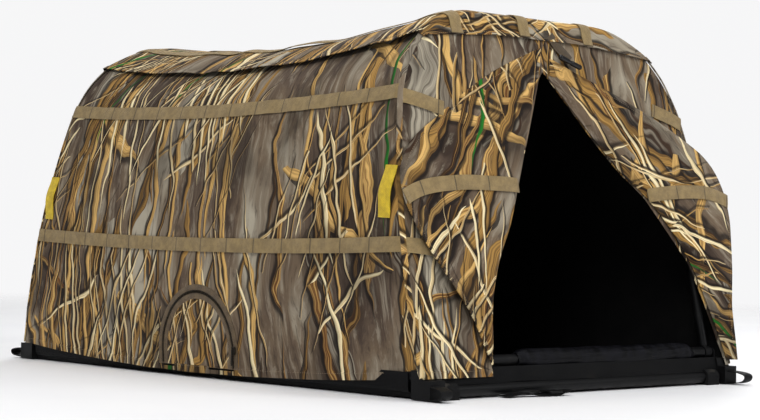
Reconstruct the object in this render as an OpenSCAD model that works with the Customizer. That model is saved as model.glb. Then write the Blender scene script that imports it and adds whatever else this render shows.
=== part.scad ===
// Layout field blind for a retriever: a camouflage cover on two folding hoops.
// Millimetres, +Z up, ground at Z = 0. The doorway faces -Y and X runs across the blind.

/* [Overall] */
// Length at the hem, from the front wall to the rear wall
base_length = 1164; // [900:2:1400]
// Greatest width over the side walls
wall_width = 746; // [620:2:900]
// Height of the roof's crown above the ground
crown_z = 617; // [560:1:680]
// Lean of the front wall from upright
front_lean = 12.2; // [6:0.1:18]
// Lean of the rear wall from upright
rear_lean = 13.9; // [6:0.1:18]
// How far the mirror plane between the side walls lies from the origin
centre_x = -24.05; // [-40:0.05:40]

/* [Cover] */
// Radius of each side wall's slow outward curve
side_radius = 1400; // [1100:10:2000]
// Height at which a side wall is widest
side_widest_z = 150; // [80:5:240]
// Angle at which the slow curve turns into the shoulder
shoulder_angle = 12.8; // [10:0.1:15]
// Radius of the roof's shoulder
shoulder_radius = 202; // [150:1:230]
// Thickness of the doubled cover fabric
fabric_t = 2; // [1.5:0.1:3]
// Height of the roof skirt's lower hem on the sides
roof_hem_z = 566; // [545:1:585]
// Height of the roof skirt's lower hem on the end walls
roof_end_hem_z = 576; // [560:1:590]
// Lowest point of the side walls' sagging hem
hem_low_z = 3; // [2:1:20]
// Height of the cover's hem at the corners
hem_corner_z = 33; // [24:1:45]
// Width of the brush-strap webbing
strap_w = 24; // [18:1:30]
// Thickness of the webbing
strap_t = 1.5; // [1:0.1:2.5]
// Height of the lower brush strap's centre
lower_strap_z = 231; // [180:1:280]
// Height of the upper brush strap's centre
upper_strap_z = 464; // [420:1:500]

/* [Door] */
// Height of the doorway's apex
apex_z = 522; // [490:1:540]
// Where the apex is along X
apex_x = -6; // [-30:1:30]
// Height of the doorway's bottom corners
sill_corner_z = 60; // [50:1:80]
// Left bottom corner of the doorway
door_left_x = -210; // [-300:1:-150]
// Right bottom corner of the doorway
door_right_x = 342; // [250:1:345]
// Thickness of a door flap
flap_t = 2.4; // [1.5:0.1:4]

/* [Hatch] */
// Radius of the side hatch's arched top
hatch_radius = 103; // [80:1:115]
// Centre of the arch along Y
hatch_y = -10; // [-60:1:60]
// Height of the arch's centre
hatch_z = 46; // [44:1:60]
// Height of the hatch's sewn bottom edge
hatch_bottom_z = 19; // [17:1:24]

/* [Frame] */
// Outside diameter of the base tubes
base_tube_d = 19; // [16:0.5:22]
// Outside diameter of the hoop tubes
hoop_tube_d = 16; // [14:0.5:18]
// Wall of every tube
tube_wall = 1.4; // [1:0.1:2]
// Half the distance between the legs of a hoop
hoop_half_w = 325; // [300:1:327]
// Bend radius of a hoop, at the tube's middle
hoop_bend_r = 190; // [160:1:200]
// Front hoop's pivot
front_pivot = [-557, 55]; // [-600:600]
// Rear hoop's pivot
rear_pivot = [560, 50]; // [-600:600]
// Left and right end of the padded sleeve on the front sill
pad_span = [-150, 285]; // [-310:310]
// Outside diameter of the padded sleeve
pad_d = 37; // [28:1:40]

/* [Hidden] */
$fn = 64;

camo = [0.45, 0.38, 0.28];
webbing = [0.42, 0.36, 0.26];
tab_yellow = [0.68, 0.55, 0.06];
zip_olive = [0.33, 0.28, 0.20];
black_fabric = [0.05, 0.05, 0.05];
black_plastic = [0.08, 0.08, 0.08];
black_tube = [0.12, 0.12, 0.13];
steel = [0.6, 0.6, 0.62];

seam_gap = 0.3;
tall = 700;
wide = 1200;
long = 1400;
base_half = base_length / 2;
wall_half = wall_width / 2;
side_arc_x = wall_half - side_radius;
shoulder_z = side_widest_z + side_radius * sin(shoulder_angle);
shoulder_x = side_arc_x + side_radius * cos(shoulder_angle);
shoulder_cx = shoulder_x - shoulder_radius * cos(shoulder_angle);
shoulder_cz = crown_z - shoulder_radius;
hem_sag = hem_corner_z - hem_low_z;
hem_radius = (base_half * base_half + hem_sag * hem_sag) / (2 * hem_sag);

tube_r = base_tube_d / 2;
hoop_r = hoop_tube_d / 2;
skid_y = 575;
skid_z = 13;
skid_half = 360;
rail_x = 352;
rail_z = skid_z + base_tube_d + 2;
rail_half = 575;
connector = [31, 42, 44];
connector_x = 334;
ear_t = 4;
ear_x = 337;
ear_r = 11;
sill_half = 316;
bolt_r = 4;
bolt_head_r = 5;
bolt_head_t = 4.5;
washer_r = 8;
eye_r = 11;
eye_w = 16;
running_gap = 0.06;
hoop_top_z = crown_z - fabric_t - hoop_r - 2;
front_hoop_len = (hoop_top_z - front_pivot[1]) / cos(front_lean);
rear_hoop_len = (hoop_top_z - rear_pivot[1]) / cos(rear_lean);
pan_half_w = 363.5;
pan_half_l = 547;
pan_z = 9;
pan_wall_z = 42;
slider_x = wall_half + 0.8;
slider_y = hatch_y - hatch_radius - 5.5;
slider_t = 3.6;

left_flap_out = [3.0, 3.0 + flap_t];
right_flap_out = [8.0, 8.0 + flap_t];
left_crease = [[apex_x - 1, apex_z], [-104, 334], [-173, 205], [door_left_x - 1, sill_corner_z]];
right_crease = [[apex_x + 1, apex_z], [147, 360], [296, 209], [door_right_x + 1, sill_corner_z]];
left_flap_fold = [[-19, 526], [-105, 334], [-174, 205], [-205, 124], [-223, 66]];
right_flap_fold = [[16, 537], [149, 361], [296, 209], [320, 144], [365, 77]];
left_flap_edge = [[-319, 214], [-368, 290], [-371, 325], [-349, 364], [-24, 542]];
right_flap_edge = [[371, 109], [406, 231], [426, 318], [401, 369], [372, 394], [335, 419], [18, 542]];

// ---- outlines and helpers -------------------------------------------------

function front_y(z) = -base_half + tan(front_lean) * (z - hem_corner_z);
function rear_y(z) = base_half - tan(rear_lean) * (z - hem_corner_z);

// Shifts a piece from the mirror plane to the part's own origin
module centred() translate([centre_x, 0, 0]) children();

// Extrudes an outline drawn in X and Z along Y
module along_y(y0, y1) translate([0, y1, 0]) rotate([90, 0, 0]) linear_extrude(y1 - y0) children();

// Extrudes an outline drawn in Y and Z along X
module along_x(x0, x1) translate([x0, 0, 0]) rotate([90, 0, 90]) linear_extrude(x1 - x0) children();

// Cross-section of the cover, with its outline moved inwards by inset
module arch(inset) {
    intersection() {
        translate([side_arc_x, side_widest_z]) circle(side_radius - inset, $fn = 360);
        translate([-side_arc_x, side_widest_z]) circle(side_radius - inset, $fn = 360);
        translate([-wide / 2, 0]) square([wide, shoulder_z - inset * sin(shoulder_angle)]);
    }
    for (side = [-1, 1])
        translate([side * shoulder_cx, shoulder_cz]) circle(shoulder_radius - inset, $fn = 96);
    translate([-shoulder_cx, shoulder_cz]) square([2 * shoulder_cx, shoulder_radius - inset]);
}

// A skin that follows the cross-section, from out0 to out1 outside the cover's face
module skin(out0, out1) along_y(-long / 2, long / 2) difference() {
    arch(-out1);
    arch(-out0);
}

// The room between the end walls, with both walls moved outwards by out
module between_ends(out) {
    f = out / cos(front_lean);
    r = out / cos(rear_lean);
    along_x(-wide / 2, wide / 2) polygon([
        [front_y(0) - f, 0], [rear_y(0) + r, 0], [rear_y(tall) + r, tall], [front_y(tall) - f, tall]
    ]);
}

// A sheet parallel to an end wall, from out0 to out1 outside its face
module end_sheet(end, out0, out1) {
    lean = end == "front" ? front_lean : rear_lean;
    sign = end == "front" ? -1 : 1;
    y_low = end == "front" ? front_y(0) : rear_y(0);
    y_high = end == "front" ? front_y(tall) : rear_y(tall);
    a = sign * out0 / cos(lean);
    b = sign * out1 / cos(lean);
    along_x(-wide / 2, wide / 2)
        polygon([[y_low + a, 0], [y_low + b, 0], [y_high + b, tall], [y_high + a, tall]]);
}

// Everything between two heights
module height_band(z0, z1) translate([-wide / 2, -long / 2, z0]) cube([wide, long, z1 - z0]);

// Everything on one side of the mirror plane: side is -1 for left and 1 for right
module one_side(side) translate([side > 0 ? 0 : -wide / 2, -long / 2, 0]) cube([wide / 2, long, tall]);

// The space above the sagging side hem
module above_hem() translate([0, 0, hem_low_z + hem_radius]) rotate([0, 90, 0])
    cylinder(r = hem_radius, h = wide, center = true, $fn = 720);

// D-shaped outline of the side hatch, in Y and Z
module hatch_outline(r, bottom) {
    intersection() {
        translate([hatch_y, hatch_z]) circle(r, $fn = 96);
        translate([hatch_y - r, hatch_z]) square([2 * r, r]);
    }
    translate([hatch_y - r, bottom]) square([2 * r, hatch_z - bottom]);
}

// The doorway's outline, in X and Z
module doorway_outline() polygon(concat(left_crease, [for (i = [3:-1:0]) right_crease[i]]));

module doorway() along_y(-long / 2, 0) union() {
    doorway_outline();
    translate([door_left_x, 0]) square([door_right_x - door_left_x, sill_corner_z + 0.01]);
}

// A tube along Y between two points on that axis
module tube_y(r, wall, y0, y1) translate([0, y1, 0]) rotate([90, 0, 0]) difference() {
    cylinder(r = r, h = y1 - y0);
    translate([0, 0, -1]) cylinder(r = r - wall, h = y1 - y0 + 2);
}

// A tube along X between two points on that axis
module tube_x(r, wall, x0, x1) translate([x0, 0, 0]) rotate([0, 90, 0]) difference() {
    cylinder(r = r, h = x1 - x0);
    translate([0, 0, -1]) cylinder(r = r - wall, h = x1 - x0 + 2);
}

module rod_x(r, x0, x1) translate([x0, 0, 0]) rotate([0, 90, 0]) cylinder(r = r, h = x1 - x0);

// Repeats a piece at both ends of both pivot lines, mirrored to the left side
module at_pivots() for (pivot = [front_pivot, rear_pivot], side = [0, 1])
    translate([0, pivot[0], pivot[1]]) mirror([side, 0, 0]) children();

// Puts a hoop's own X-Y plane into its end wall's plane, at its pivot line
module on_front_pivot() translate([0, front_pivot[0], front_pivot[1]])
    rotate([90 - front_lean, 0, 0]) children();

module on_rear_pivot() translate([0, rear_pivot[0], rear_pivot[1]])
    rotate([90 - rear_lean, 0, 180]) children();

// ---- base frame -----------------------------------------------------------

module rail(side) color(black_tube) centred() translate([side * rail_x, 0, rail_z])
    tube_y(tube_r, tube_wall, -rail_half, rail_half);

module left_rail() rail(-1);
module right_rail() rail(1);

module skid(end) color(black_tube) centred() translate([0, end * skid_y, skid_z])
    tube_x(tube_r, tube_wall, -skid_half, skid_half);

module front_skid() skid(-1);
module rear_skid() skid(1);

// Moulded corner: holds a rail's end and a skid's end, and carries the hoop's pivot ear
module connector_solid(pivot) difference() {
    union() {
        translate([connector_x, -skid_y - connector[1] / 2, 1.5]) cube(connector);
        translate([0, pivot[0], pivot[1]]) rod_x(ear_r, ear_x, ear_x + ear_t);
        translate([ear_x, pivot[0] - ear_r, 20]) cube([ear_t, 2 * ear_r, pivot[1] - 20]);
    }
    translate([rail_x, 0, rail_z]) rotate([90, 0, 0]) cylinder(r = tube_r, h = rail_half);
    translate([0, -skid_y, skid_z]) rod_x(tube_r, 0, skid_half);
    translate([0, pivot[0], pivot[1]]) {
        rod_x(bolt_r, ear_x - 5, ear_x + ear_t + 5);
        rod_x(washer_r + 0.5, connector_x - 1, ear_x);
        rod_x(bolt_head_r + 0.5, ear_x + ear_t, ear_x + ear_t + bolt_head_t + 0.5);
    }
}

// The connectors' upper halves stand inside the end walls, and their lower halves reach out below
module corner_connectors() color(black_plastic) centred() intersection() {
    for (side = [0, 1]) mirror([side, 0, 0]) {
        connector_solid(front_pivot);
        mirror([0, 1, 0]) connector_solid([-rear_pivot[0], rear_pivot[1]]);
    }
    union() {
        between_ends(-fabric_t - 0.6);
        height_band(0, hem_corner_z - 1.5);
    }
}

// Flat-bottomed rubber feet clipped round the skid tubes
module rubber_feet() color(black_plastic) centred() for (side = [-1, 1], end = [-1, 1])
    translate([side * 312, end * skid_y, 0]) difference() {
        union() {
            translate([-15, -14, 0]) cube([30, 28, skid_z]);
            translate([0, 0, skid_z]) rod_x(14, -15, 15);
        }
        translate([0, 0, skid_z]) rod_x(tube_r, -16, 16);
        translate([-20, -20, -5]) cube([40, 40, 5]);
    }

module sill_tube(pivot) color(black_tube) centred() translate([0, pivot[0], pivot[1]])
    tube_x(tube_r, tube_wall, -sill_half, sill_half);

module front_sill_tube() sill_tube(front_pivot);
module rear_sill_tube() sill_tube(rear_pivot);

module sill_plugs() color(black_plastic) centred() at_pivots() difference() {
    rod_x(tube_r - tube_wall, sill_half - 30, sill_half);
    rod_x(bolt_r, sill_half - 18, sill_half + 1);
}

module pivot_bolts() color(steel) centred() at_pivots() {
    rod_x(bolt_r, sill_half - 18, ear_x + ear_t);
    rod_x(bolt_head_r, ear_x + ear_t, ear_x + ear_t + bolt_head_t);
}

module pivot_washers() color(steel) centred() at_pivots() difference() {
    rod_x(washer_r, ear_x - 3.4, ear_x);
    rod_x(bolt_r, ear_x - 5, ear_x + 1);
}

module sill_pad() color(black_fabric) centred() translate([0, front_pivot[0], front_pivot[1]])
    tube_x(pad_d / 2, pad_d / 2 - tube_r, pad_span[0], pad_span[1]);

// ---- hoops ----------------------------------------------------------------

// Solid of a U-shaped hoop in its own X-Y plane, with its pivot line on X
module hoop_solid(r, length, start) {
    bend_x = hoop_half_w - hoop_bend_r;
    for (side = [0, 1]) mirror([side, 0, 0]) {
        translate([hoop_half_w, start, 0]) rotate([-90, 0, 0])
            cylinder(r = r, h = length - hoop_bend_r - start);
        translate([bend_x, length - hoop_bend_r, 0])
            rotate_extrude(angle = 90) translate([hoop_bend_r, 0]) circle(r);
    }
    translate([0, length, 0]) rod_x(r, -bend_x, bend_x);
}

module hoop(length) difference() {
    hoop_solid(hoop_r, length, eye_r + 1);
    hoop_solid(hoop_r - tube_wall, length, eye_r);
}

// Eye at each foot of a hoop: a boss on the pivot bolt and a spigot in the tube
module hoop_eyes() for (side = [-1, 1]) translate([side * hoop_half_w, 0, 0]) difference() {
    union() {
        rod_x(eye_r, -eye_w / 2, eye_w / 2);
        rotate([-90, 0, 0]) cylinder(r = hoop_r - tube_wall, h = 45);
    }
    rod_x(bolt_r + running_gap, -eye_w, eye_w);
}

module front_hoop() color(black_tube) centred() on_front_pivot() hoop(front_hoop_len);
module rear_hoop() color(black_tube) centred() on_rear_pivot() hoop(rear_hoop_len);
module front_hoop_eyes() color(black_plastic) centred() on_front_pivot() hoop_eyes();
module rear_hoop_eyes() color(black_plastic) centred() on_rear_pivot() hoop_eyes();

// ---- cover ----------------------------------------------------------------

// Tray of black cloth: a floor with a low wall outside each rail
module floor_pan() color(black_fabric) centred() difference() {
    translate([-pan_half_w, -pan_half_l, pan_z])
        cube([2 * pan_half_w, 2 * pan_half_l, pan_wall_z - pan_z]);
    translate([-pan_half_w + 1.6, -pan_half_l - 1, pan_z + fabric_t])
        cube([2 * pan_half_w - 3.2, 2 * pan_half_l + 2, pan_wall_z]);
}

module side_panel(side) intersection() {
    skin(-fabric_t, 0);
    between_ends(0);
    one_side(side);
    height_band(0, roof_hem_z + 12);
    above_hem();
}

module left_side_panel() color(camo) centred() difference() {
    side_panel(-1);
    along_x(-wide / 2, 0) hatch_outline(hatch_radius, hatch_bottom_z - 1.5);
}

module right_side_panel() color(camo) centred() side_panel(1);

// The roof with its skirt, which hangs over the side walls and both end walls
module roof_panel() color(camo) centred() {
    out = seam_gap + fabric_t;
    intersection() {
        skin(seam_gap, out);
        between_ends(out);
        height_band(roof_hem_z, tall);
    }
    for (end = ["front", "rear"]) intersection() {
        end_sheet(end, seam_gap, out);
        along_y(-long / 2, long / 2) arch(-out);
        height_band(roof_end_hem_z, tall);
    }
}

// Fixed wall beside the doorway
module front_panel(side) difference() {
    intersection() {
        end_sheet("front", -fabric_t, 0);
        along_y(-long / 2, 0) arch(fabric_t + seam_gap);
        one_side(side);
        height_band(hem_corner_z, tall);
    }
    doorway();
}

module front_left_panel() color(camo) centred() front_panel(-1);
module front_right_panel() color(camo) centred() front_panel(1);

module rear_panel() color(camo) centred() intersection() {
    end_sheet("rear", -fabric_t, 0);
    along_y(0, long / 2) arch(fabric_t + seam_gap);
    height_band(hem_corner_z, tall);
}

// ---- webbing --------------------------------------------------------------

module side_strap(side, z) color(webbing) centred() intersection() {
    skin(seam_gap, seam_gap + strap_t);
    between_ends(0);
    one_side(side);
    height_band(z - strap_w / 2, z + strap_w / 2);
}

module left_upper_strap() side_strap(-1, upper_strap_z);
module left_lower_strap() side_strap(-1, lower_strap_z);
module right_upper_strap() side_strap(1, upper_strap_z);
module right_lower_strap() side_strap(1, lower_strap_z);

module end_straps(end) for (z = [lower_strap_z, upper_strap_z]) intersection() {
    end_sheet(end, seam_gap, seam_gap + strap_t);
    along_y(-long / 2, long / 2) arch(0);
    height_band(z - strap_w / 2, z + strap_w / 2);
}

module front_straps(side) color(webbing) centred() difference() {
    intersection() {
        end_straps("front");
        one_side(side);
    }
    doorway();
}

module front_left_straps() front_straps(-1);
module front_right_straps() front_straps(1);
module rear_straps() color(webbing) centred() end_straps("rear");

module roof_strap(x) color(webbing) centred() intersection() {
    skin(2 * seam_gap + fabric_t, 2 * seam_gap + fabric_t + strap_t);
    between_ends(fabric_t);
    translate([x - strap_w / 2, -long / 2, roof_hem_z]) cube([strap_w, long, tall - roof_hem_z]);
}

module roof_left_strap() roof_strap(-200);
module roof_centre_strap() roof_strap(-45);
module roof_right_strap() roof_strap(112);

// Yellow pull tabs on the side walls, one beside each corner
module pull_tabs() color(tab_yellow) centred() for (side = [-1, 1]) intersection() {
    skin(seam_gap, seam_gap + strap_t);
    one_side(side);
    height_band(275, 356);
    union() {
        translate([-wide / 2, front_y(315) + 11, 0]) cube([wide, 31, tall]);
        translate([-wide / 2, rear_y(315) - 42, 0]) cube([wide, 31, tall]);
    }
}

// ---- door -----------------------------------------------------------------

module flap(fold, edge, out) intersection() {
    end_sheet("front", out[0], out[1]);
    along_y(-long / 2, 0) polygon(concat(fold, edge));
}

// Webbing across a flap, from its fold to its free edge
module flap_strap(fold, edge, out, line) intersection() {
    end_sheet("front", out[1] + seam_gap, out[1] + seam_gap + strap_t);
    along_y(-long / 2, 0) intersection() {
        polygon(concat(fold, edge));
        polygon([
            line[0] + [0, strap_w / 2], line[0] - [0, strap_w / 2],
            line[1] - [0, strap_w / 2], line[1] + [0, strap_w / 2]
        ]);
    }
}

module left_door_flap() color(camo) centred()
    flap(left_flap_fold, left_flap_edge, left_flap_out);

module left_flap_strap() color(webbing) centred()
    flap_strap(left_flap_fold, left_flap_edge, left_flap_out, [[-90, 336], [-390, 306]]);

module right_door_flap() color(camo) centred()
    flap(right_flap_fold, right_flap_edge, right_flap_out);

module right_flap_strap() color(webbing) centred()
    flap_strap(right_flap_fold, right_flap_edge, right_flap_out, [[150, 334], [440, 322]]);

// Bar toggle that holds the rolled door, on a webbing loop under the roof skirt
module door_toggle() color(black_plastic) centred() translate([52, front_y(547) - 9, 547])
    rotate([0, 106, 0]) {
        cylinder(r = 4.5, h = 48, center = true);
        for (end = [-24, 24]) translate([0, 0, end]) sphere(4.5);
    }

module toggle_loop() color(webbing) centred() intersection() {
    end_sheet("front", 2 * seam_gap + fabric_t, 2 * seam_gap + fabric_t + strap_t);
    along_y(-long / 2, 0) polygon([[8, 590], [30, 590], [40, 545], [22, 545]]);
}

// ---- side hatch -----------------------------------------------------------

module hatch_flap() color(camo) centred() intersection() {
    skin(-fabric_t, 0);
    along_x(-wide / 2, 0) hatch_outline(hatch_radius - 1, hatch_bottom_z);
}

module hatch_zip_tape() color(zip_olive) centred() difference() {
    intersection() {
        skin(seam_gap, seam_gap + 1);
        along_x(-wide / 2, 0) hatch_outline(hatch_radius + 11, hatch_bottom_z);
    }
    along_x(-wide / 2, 0) hatch_outline(hatch_radius, hatch_bottom_z - 5);
}

// The slider runs round the arch on the zip, and its puller hangs from it
module hatch_slider() color(black_plastic) centred()
    translate([-slider_x, slider_y, hatch_z + 6]) cube([slider_t, 9, 13], center = true);

module hatch_puller() color(black_plastic) centred()
    translate([-slider_x - slider_t / 2, slider_y, hatch_z + 6]) {
        translate([-2.3, -2.5, -2]) cube([2.3, 5, 5]);
        translate([-2.3, -2.5, -25]) cube([1.6, 5, 24]);
    }

// ---- ground straps --------------------------------------------------------

loop_out = [34, 30];
loop_in = [24, 22];

module stake_loops() color(black_fabric) centred() for (side = [-1, 1], end = [-1, 1])
    translate([side * (connector_x + 15), end * (skid_y + connector[1] / 2 + loop_out[1] / 2), 5])
        difference() {
            cube([loop_out[0], loop_out[1], 2.6], center = true);
            cube([loop_in[0], loop_in[1], 4], center = true);
        }

module tie_strap() color(black_fabric) centred() translate([-210, -605.5, 2])
    rotate([0, 0, -6]) cube([130, 21, 2]);

module tie_buckle() color(black_plastic) centred() translate([-210, -605.5, 2])
    rotate([0, 0, -6]) translate([96, 10.5, 4.3]) difference() {
        cube([26, 30, 4], center = true);
        for (x = [-6, 6]) translate([x, 0, 0]) cube([3.2, 22, 6], center = true);
    }

left_rail();
right_rail();
front_skid();
rear_skid();
corner_connectors();
rubber_feet();
front_sill_tube();
rear_sill_tube();
sill_plugs();
pivot_bolts();
pivot_washers();
sill_pad();
front_hoop();
front_hoop_eyes();
rear_hoop();
rear_hoop_eyes();
floor_pan();
left_side_panel();
right_side_panel();
roof_panel();
front_left_panel();
front_right_panel();
rear_panel();
left_upper_strap();
left_lower_strap();
right_upper_strap();
right_lower_strap();
front_left_straps();
front_right_straps();
rear_straps();
roof_left_strap();
roof_centre_strap();
roof_right_strap();
pull_tabs();
left_door_flap();
left_flap_strap();
right_door_flap();
right_flap_strap();
door_toggle();
toggle_loop();
hatch_flap();
hatch_zip_tape();
hatch_slider();
hatch_puller();
stake_loops();
tie_strap();
tie_buckle();
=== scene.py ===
import math

import bpy
import numpy as np
from mathutils import Matrix, Vector


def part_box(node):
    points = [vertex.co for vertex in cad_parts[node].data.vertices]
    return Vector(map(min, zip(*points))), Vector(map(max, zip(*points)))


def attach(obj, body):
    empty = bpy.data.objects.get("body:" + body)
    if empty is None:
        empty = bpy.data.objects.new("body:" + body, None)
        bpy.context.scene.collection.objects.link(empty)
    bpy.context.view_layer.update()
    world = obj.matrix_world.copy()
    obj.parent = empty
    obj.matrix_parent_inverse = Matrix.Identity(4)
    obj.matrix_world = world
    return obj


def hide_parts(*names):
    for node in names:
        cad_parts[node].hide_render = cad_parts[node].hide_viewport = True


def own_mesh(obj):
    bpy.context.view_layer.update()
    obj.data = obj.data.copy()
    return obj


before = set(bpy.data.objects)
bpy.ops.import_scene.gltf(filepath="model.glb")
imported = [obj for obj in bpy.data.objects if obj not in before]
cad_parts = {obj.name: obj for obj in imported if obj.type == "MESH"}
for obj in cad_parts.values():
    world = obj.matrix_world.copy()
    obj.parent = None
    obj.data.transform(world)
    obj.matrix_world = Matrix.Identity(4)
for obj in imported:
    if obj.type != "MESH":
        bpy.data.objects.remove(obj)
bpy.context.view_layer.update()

# ---------------------------------------------------------------------------
# Driving dimensions, in metres, read from the CAD frame where it has them
# ---------------------------------------------------------------------------

left_low, left_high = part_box("left_side_panel")
right_low, right_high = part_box("right_side_panel")
MID_X = (left_low.x + right_high.x) / 2
WALL = (right_high.x - left_low.x) / 2
HALF_LENGTH = -left_low.y
ROOF_OUT = 0.0023
CROWN_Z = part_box("roof_panel")[1].z - ROOF_OUT
ROOF_HEM_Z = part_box("roof_panel")[0].z
HEM_CORNER_Z = 0.033
HEM_LOW_Z = left_low.z

FRONT_LEAN = math.radians(12.2)
REAR_LEAN = math.radians(13.9)
SIDE_RADIUS = 1.4
SIDE_WIDEST_Z = 0.150
SHOULDER_ANGLE = math.radians(12.8)
SHOULDER_RADIUS = 0.202
SHOULDER_X = WALL - SIDE_RADIUS + (SIDE_RADIUS - SHOULDER_RADIUS) * math.cos(SHOULDER_ANGLE)
SHOULDER_Z = CROWN_Z - SHOULDER_RADIUS
SHOULDER_ARC = SHOULDER_X + SHOULDER_RADIUS * (math.pi / 2 - SHOULDER_ANGLE)

CENTRE = np.array([MID_X, 0.0, 0.30])
CLOTH = 0.0012
CORNER_R = 0.012
CORNER_CUT = CORNER_R * (1 - math.sqrt(0.5))
HEM_EXTRA = 0.0009
STRAP_W = 0.024
STRAP_T = 0.0014
APEX_X = -0.010


# ---------------------------------------------------------------------------
# Small tools: noise, smooth steps, curves
# ---------------------------------------------------------------------------

def smooth(low, high, x):
    t = np.clip((x - low) / (high - low), 0, 1)
    return t * t * (3 - 2 * t)


def lattice(i, j, seed):
    """A fixed random value from -1 to 1 at each whole-number point."""
    h = np.sin(i * 127.1 + j * 311.7 + seed * 74.7) * 43758.5453
    return 2 * (h - np.floor(h)) - 1


def ripple(x, y, seed=0):
    """Smooth noise from -1 to 1 over a plane."""
    x, y = np.broadcast_arrays(np.asarray(x, float), np.asarray(y, float))
    i, j = np.floor(x), np.floor(y)
    u, v = x - i, y - j
    u, v = u * u * (3 - 2 * u), v * v * (3 - 2 * v)
    low = lattice(i, j, seed) * (1 - u) + lattice(i + 1, j, seed) * u
    high = lattice(i, j + 1, seed) * (1 - u) + lattice(i + 1, j + 1, seed) * u
    return low * (1 - v) + high * v


def curve(points, t):
    """A smooth line through a few points, at shares t of its length, by Catmull-Rom."""
    p = np.array(points, float)
    step = np.linalg.norm(np.diff(p, axis=0), axis=1)
    at = np.concatenate([[0], np.cumsum(step)]) / step.sum()
    t = np.clip(np.asarray(t, float), 0, 1)
    k = np.clip(np.searchsorted(at, t, side="right") - 1, 0, len(p) - 2)
    w = ((t - at[k]) / (at[k + 1] - at[k]))[..., None]
    slope = np.gradient(p, at, axis=0)
    span = (at[k + 1] - at[k])[..., None]
    h00 = 2 * w**3 - 3 * w**2 + 1
    h10 = w**3 - 2 * w**2 + w
    h01 = -2 * w**3 + 3 * w**2
    h11 = w**3 - w**2
    return h00 * p[k] + h10 * span * slope[k] + h01 * p[k + 1] + h11 * span * slope[k + 1]


def unit(vectors):
    """The same directions, each with length 1."""
    return vectors / np.linalg.norm(vectors, axis=-1, keepdims=True)


def along(points):
    """Distance run along a line of points."""
    return np.concatenate([[0], np.cumsum(np.linalg.norm(np.diff(points, axis=0), axis=1))])


# ---------------------------------------------------------------------------
# The cover's shape
# ---------------------------------------------------------------------------

def front_y(z):
    return -HALF_LENGTH + math.tan(FRONT_LEAN) * (z - HEM_CORNER_Z)


def rear_y(z):
    return HALF_LENGTH - math.tan(REAR_LEAN) * (z - HEM_CORNER_Z)


def distance_at(z):
    """Distance from the crown's middle, round the cross-section, down to a height."""
    z = np.asarray(z, float)
    low = SHOULDER_ARC + SIDE_RADIUS * (
        SHOULDER_ANGLE - np.arcsin(np.clip((z - SIDE_WIDEST_Z) / SIDE_RADIUS, -1, 1)))
    top = SHOULDER_X + SHOULDER_RADIUS * (
        math.pi / 2 - np.arcsin(np.clip((z - SHOULDER_Z) / SHOULDER_RADIUS, -1, 1)))
    shoulder_z = SIDE_WIDEST_Z + SIDE_RADIUS * math.sin(SHOULDER_ANGLE)
    return np.where(z < shoulder_z, low, top)


def profile(d):
    """(x, z, normal x, normal z) of the cross-section at signed distance d from the crown."""
    d = np.asarray(d, float)
    side, a = np.sign(d), np.abs(d)
    top_angle = math.pi / 2 - (np.maximum(a, SHOULDER_X) - SHOULDER_X) / SHOULDER_RADIUS
    low_angle = SHOULDER_ANGLE - (np.maximum(a, SHOULDER_ARC) - SHOULDER_ARC) / SIDE_RADIUS
    flat, low = a <= SHOULDER_X, a > SHOULDER_ARC
    angle = np.where(flat, math.pi / 2, np.where(low, low_angle, top_angle))
    x = np.where(low, WALL - SIDE_RADIUS + SIDE_RADIUS * np.cos(low_angle),
                 SHOULDER_X + SHOULDER_RADIUS * np.cos(top_angle))
    z = np.where(low, SIDE_WIDEST_Z + SIDE_RADIUS * np.sin(low_angle),
                 SHOULDER_Z + SHOULDER_RADIUS * np.sin(top_angle))
    x = np.where(flat, a, x)
    z = np.where(flat, CROWN_Z, z)
    return side * x, z, side * np.cos(angle) * (~flat), np.where(flat, 1, np.sin(angle))


def half_width(z):
    return profile(distance_at(z))[0]


def span_sag(u, z):
    """How far the cloth hangs down between the hoops: most at the hem and under the roof."""
    hang = 4 * u * (1 - u)
    amount = np.interp(z, [0.0, 0.033, 0.10, 0.23, 0.48, 0.57, 0.62],
                       [0.026, 0.024, 0.014, 0.010, 0.013, 0.027, 0.031])
    return amount * hang


def wall_relief(u, z, side):
    """Wrinkles of a side wall, outwards in metres."""
    s = u * 2 * HALF_LENGTH
    seed = 3 if side < 0 else 11
    billow = 0.0035 * ripple(s * 3.1, z * 4.0, seed)
    vertical = 0.0016 * ripple(s * 17 + 1.5 * ripple(s * 3, z * 5, seed + 5), z * 3.2, seed + 1)
    near_corner = np.exp(-s / 0.11) + np.exp(-(2 * HALF_LENGTH - s) / 0.11)
    slant = 0.0026 * ripple((s + z * 0.8) * 22, z * 4, seed + 2) * near_corner
    hem = 0.0050 * ripple(s * 15, 0.5, seed + 3) * np.exp(-np.maximum(z - HEM_LOW_Z, 0) / 0.045)
    tuck = -0.010 * np.exp(-np.maximum(z - 0.02, 0) / 0.05) * near_corner
    sag_in = -0.007 * 4 * u * (1 - u) * smooth(0.25, 0.56, z)
    return billow + vertical + slant + hem + tuck + sag_in


def wall_point(side, u, d, out=0.0):
    """A point of a side wall: u from 0 at the front corner to 1 at the rear, d down from the crown."""
    u, d = np.broadcast_arrays(np.asarray(u, float), np.asarray(d, float))
    x, z, nx, nz = profile(side * d)
    y0, y1 = front_y(z) + CORNER_CUT, rear_y(z) - CORNER_CUT
    y = y0 + u * (y1 - y0)
    gap = np.minimum(y - front_y(z), rear_y(z) - y)
    turn = np.clip(CORNER_R - gap, 0, CORNER_R)
    rounding = CORNER_R - np.sqrt(CORNER_R**2 - turn**2)
    lift = out + wall_relief(u, z, side) * smooth(0.0, 0.03, gap) - rounding
    return np.stack([MID_X + x + nx * lift, y, z + nz * lift - span_sag(u, z)], -1)


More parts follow.
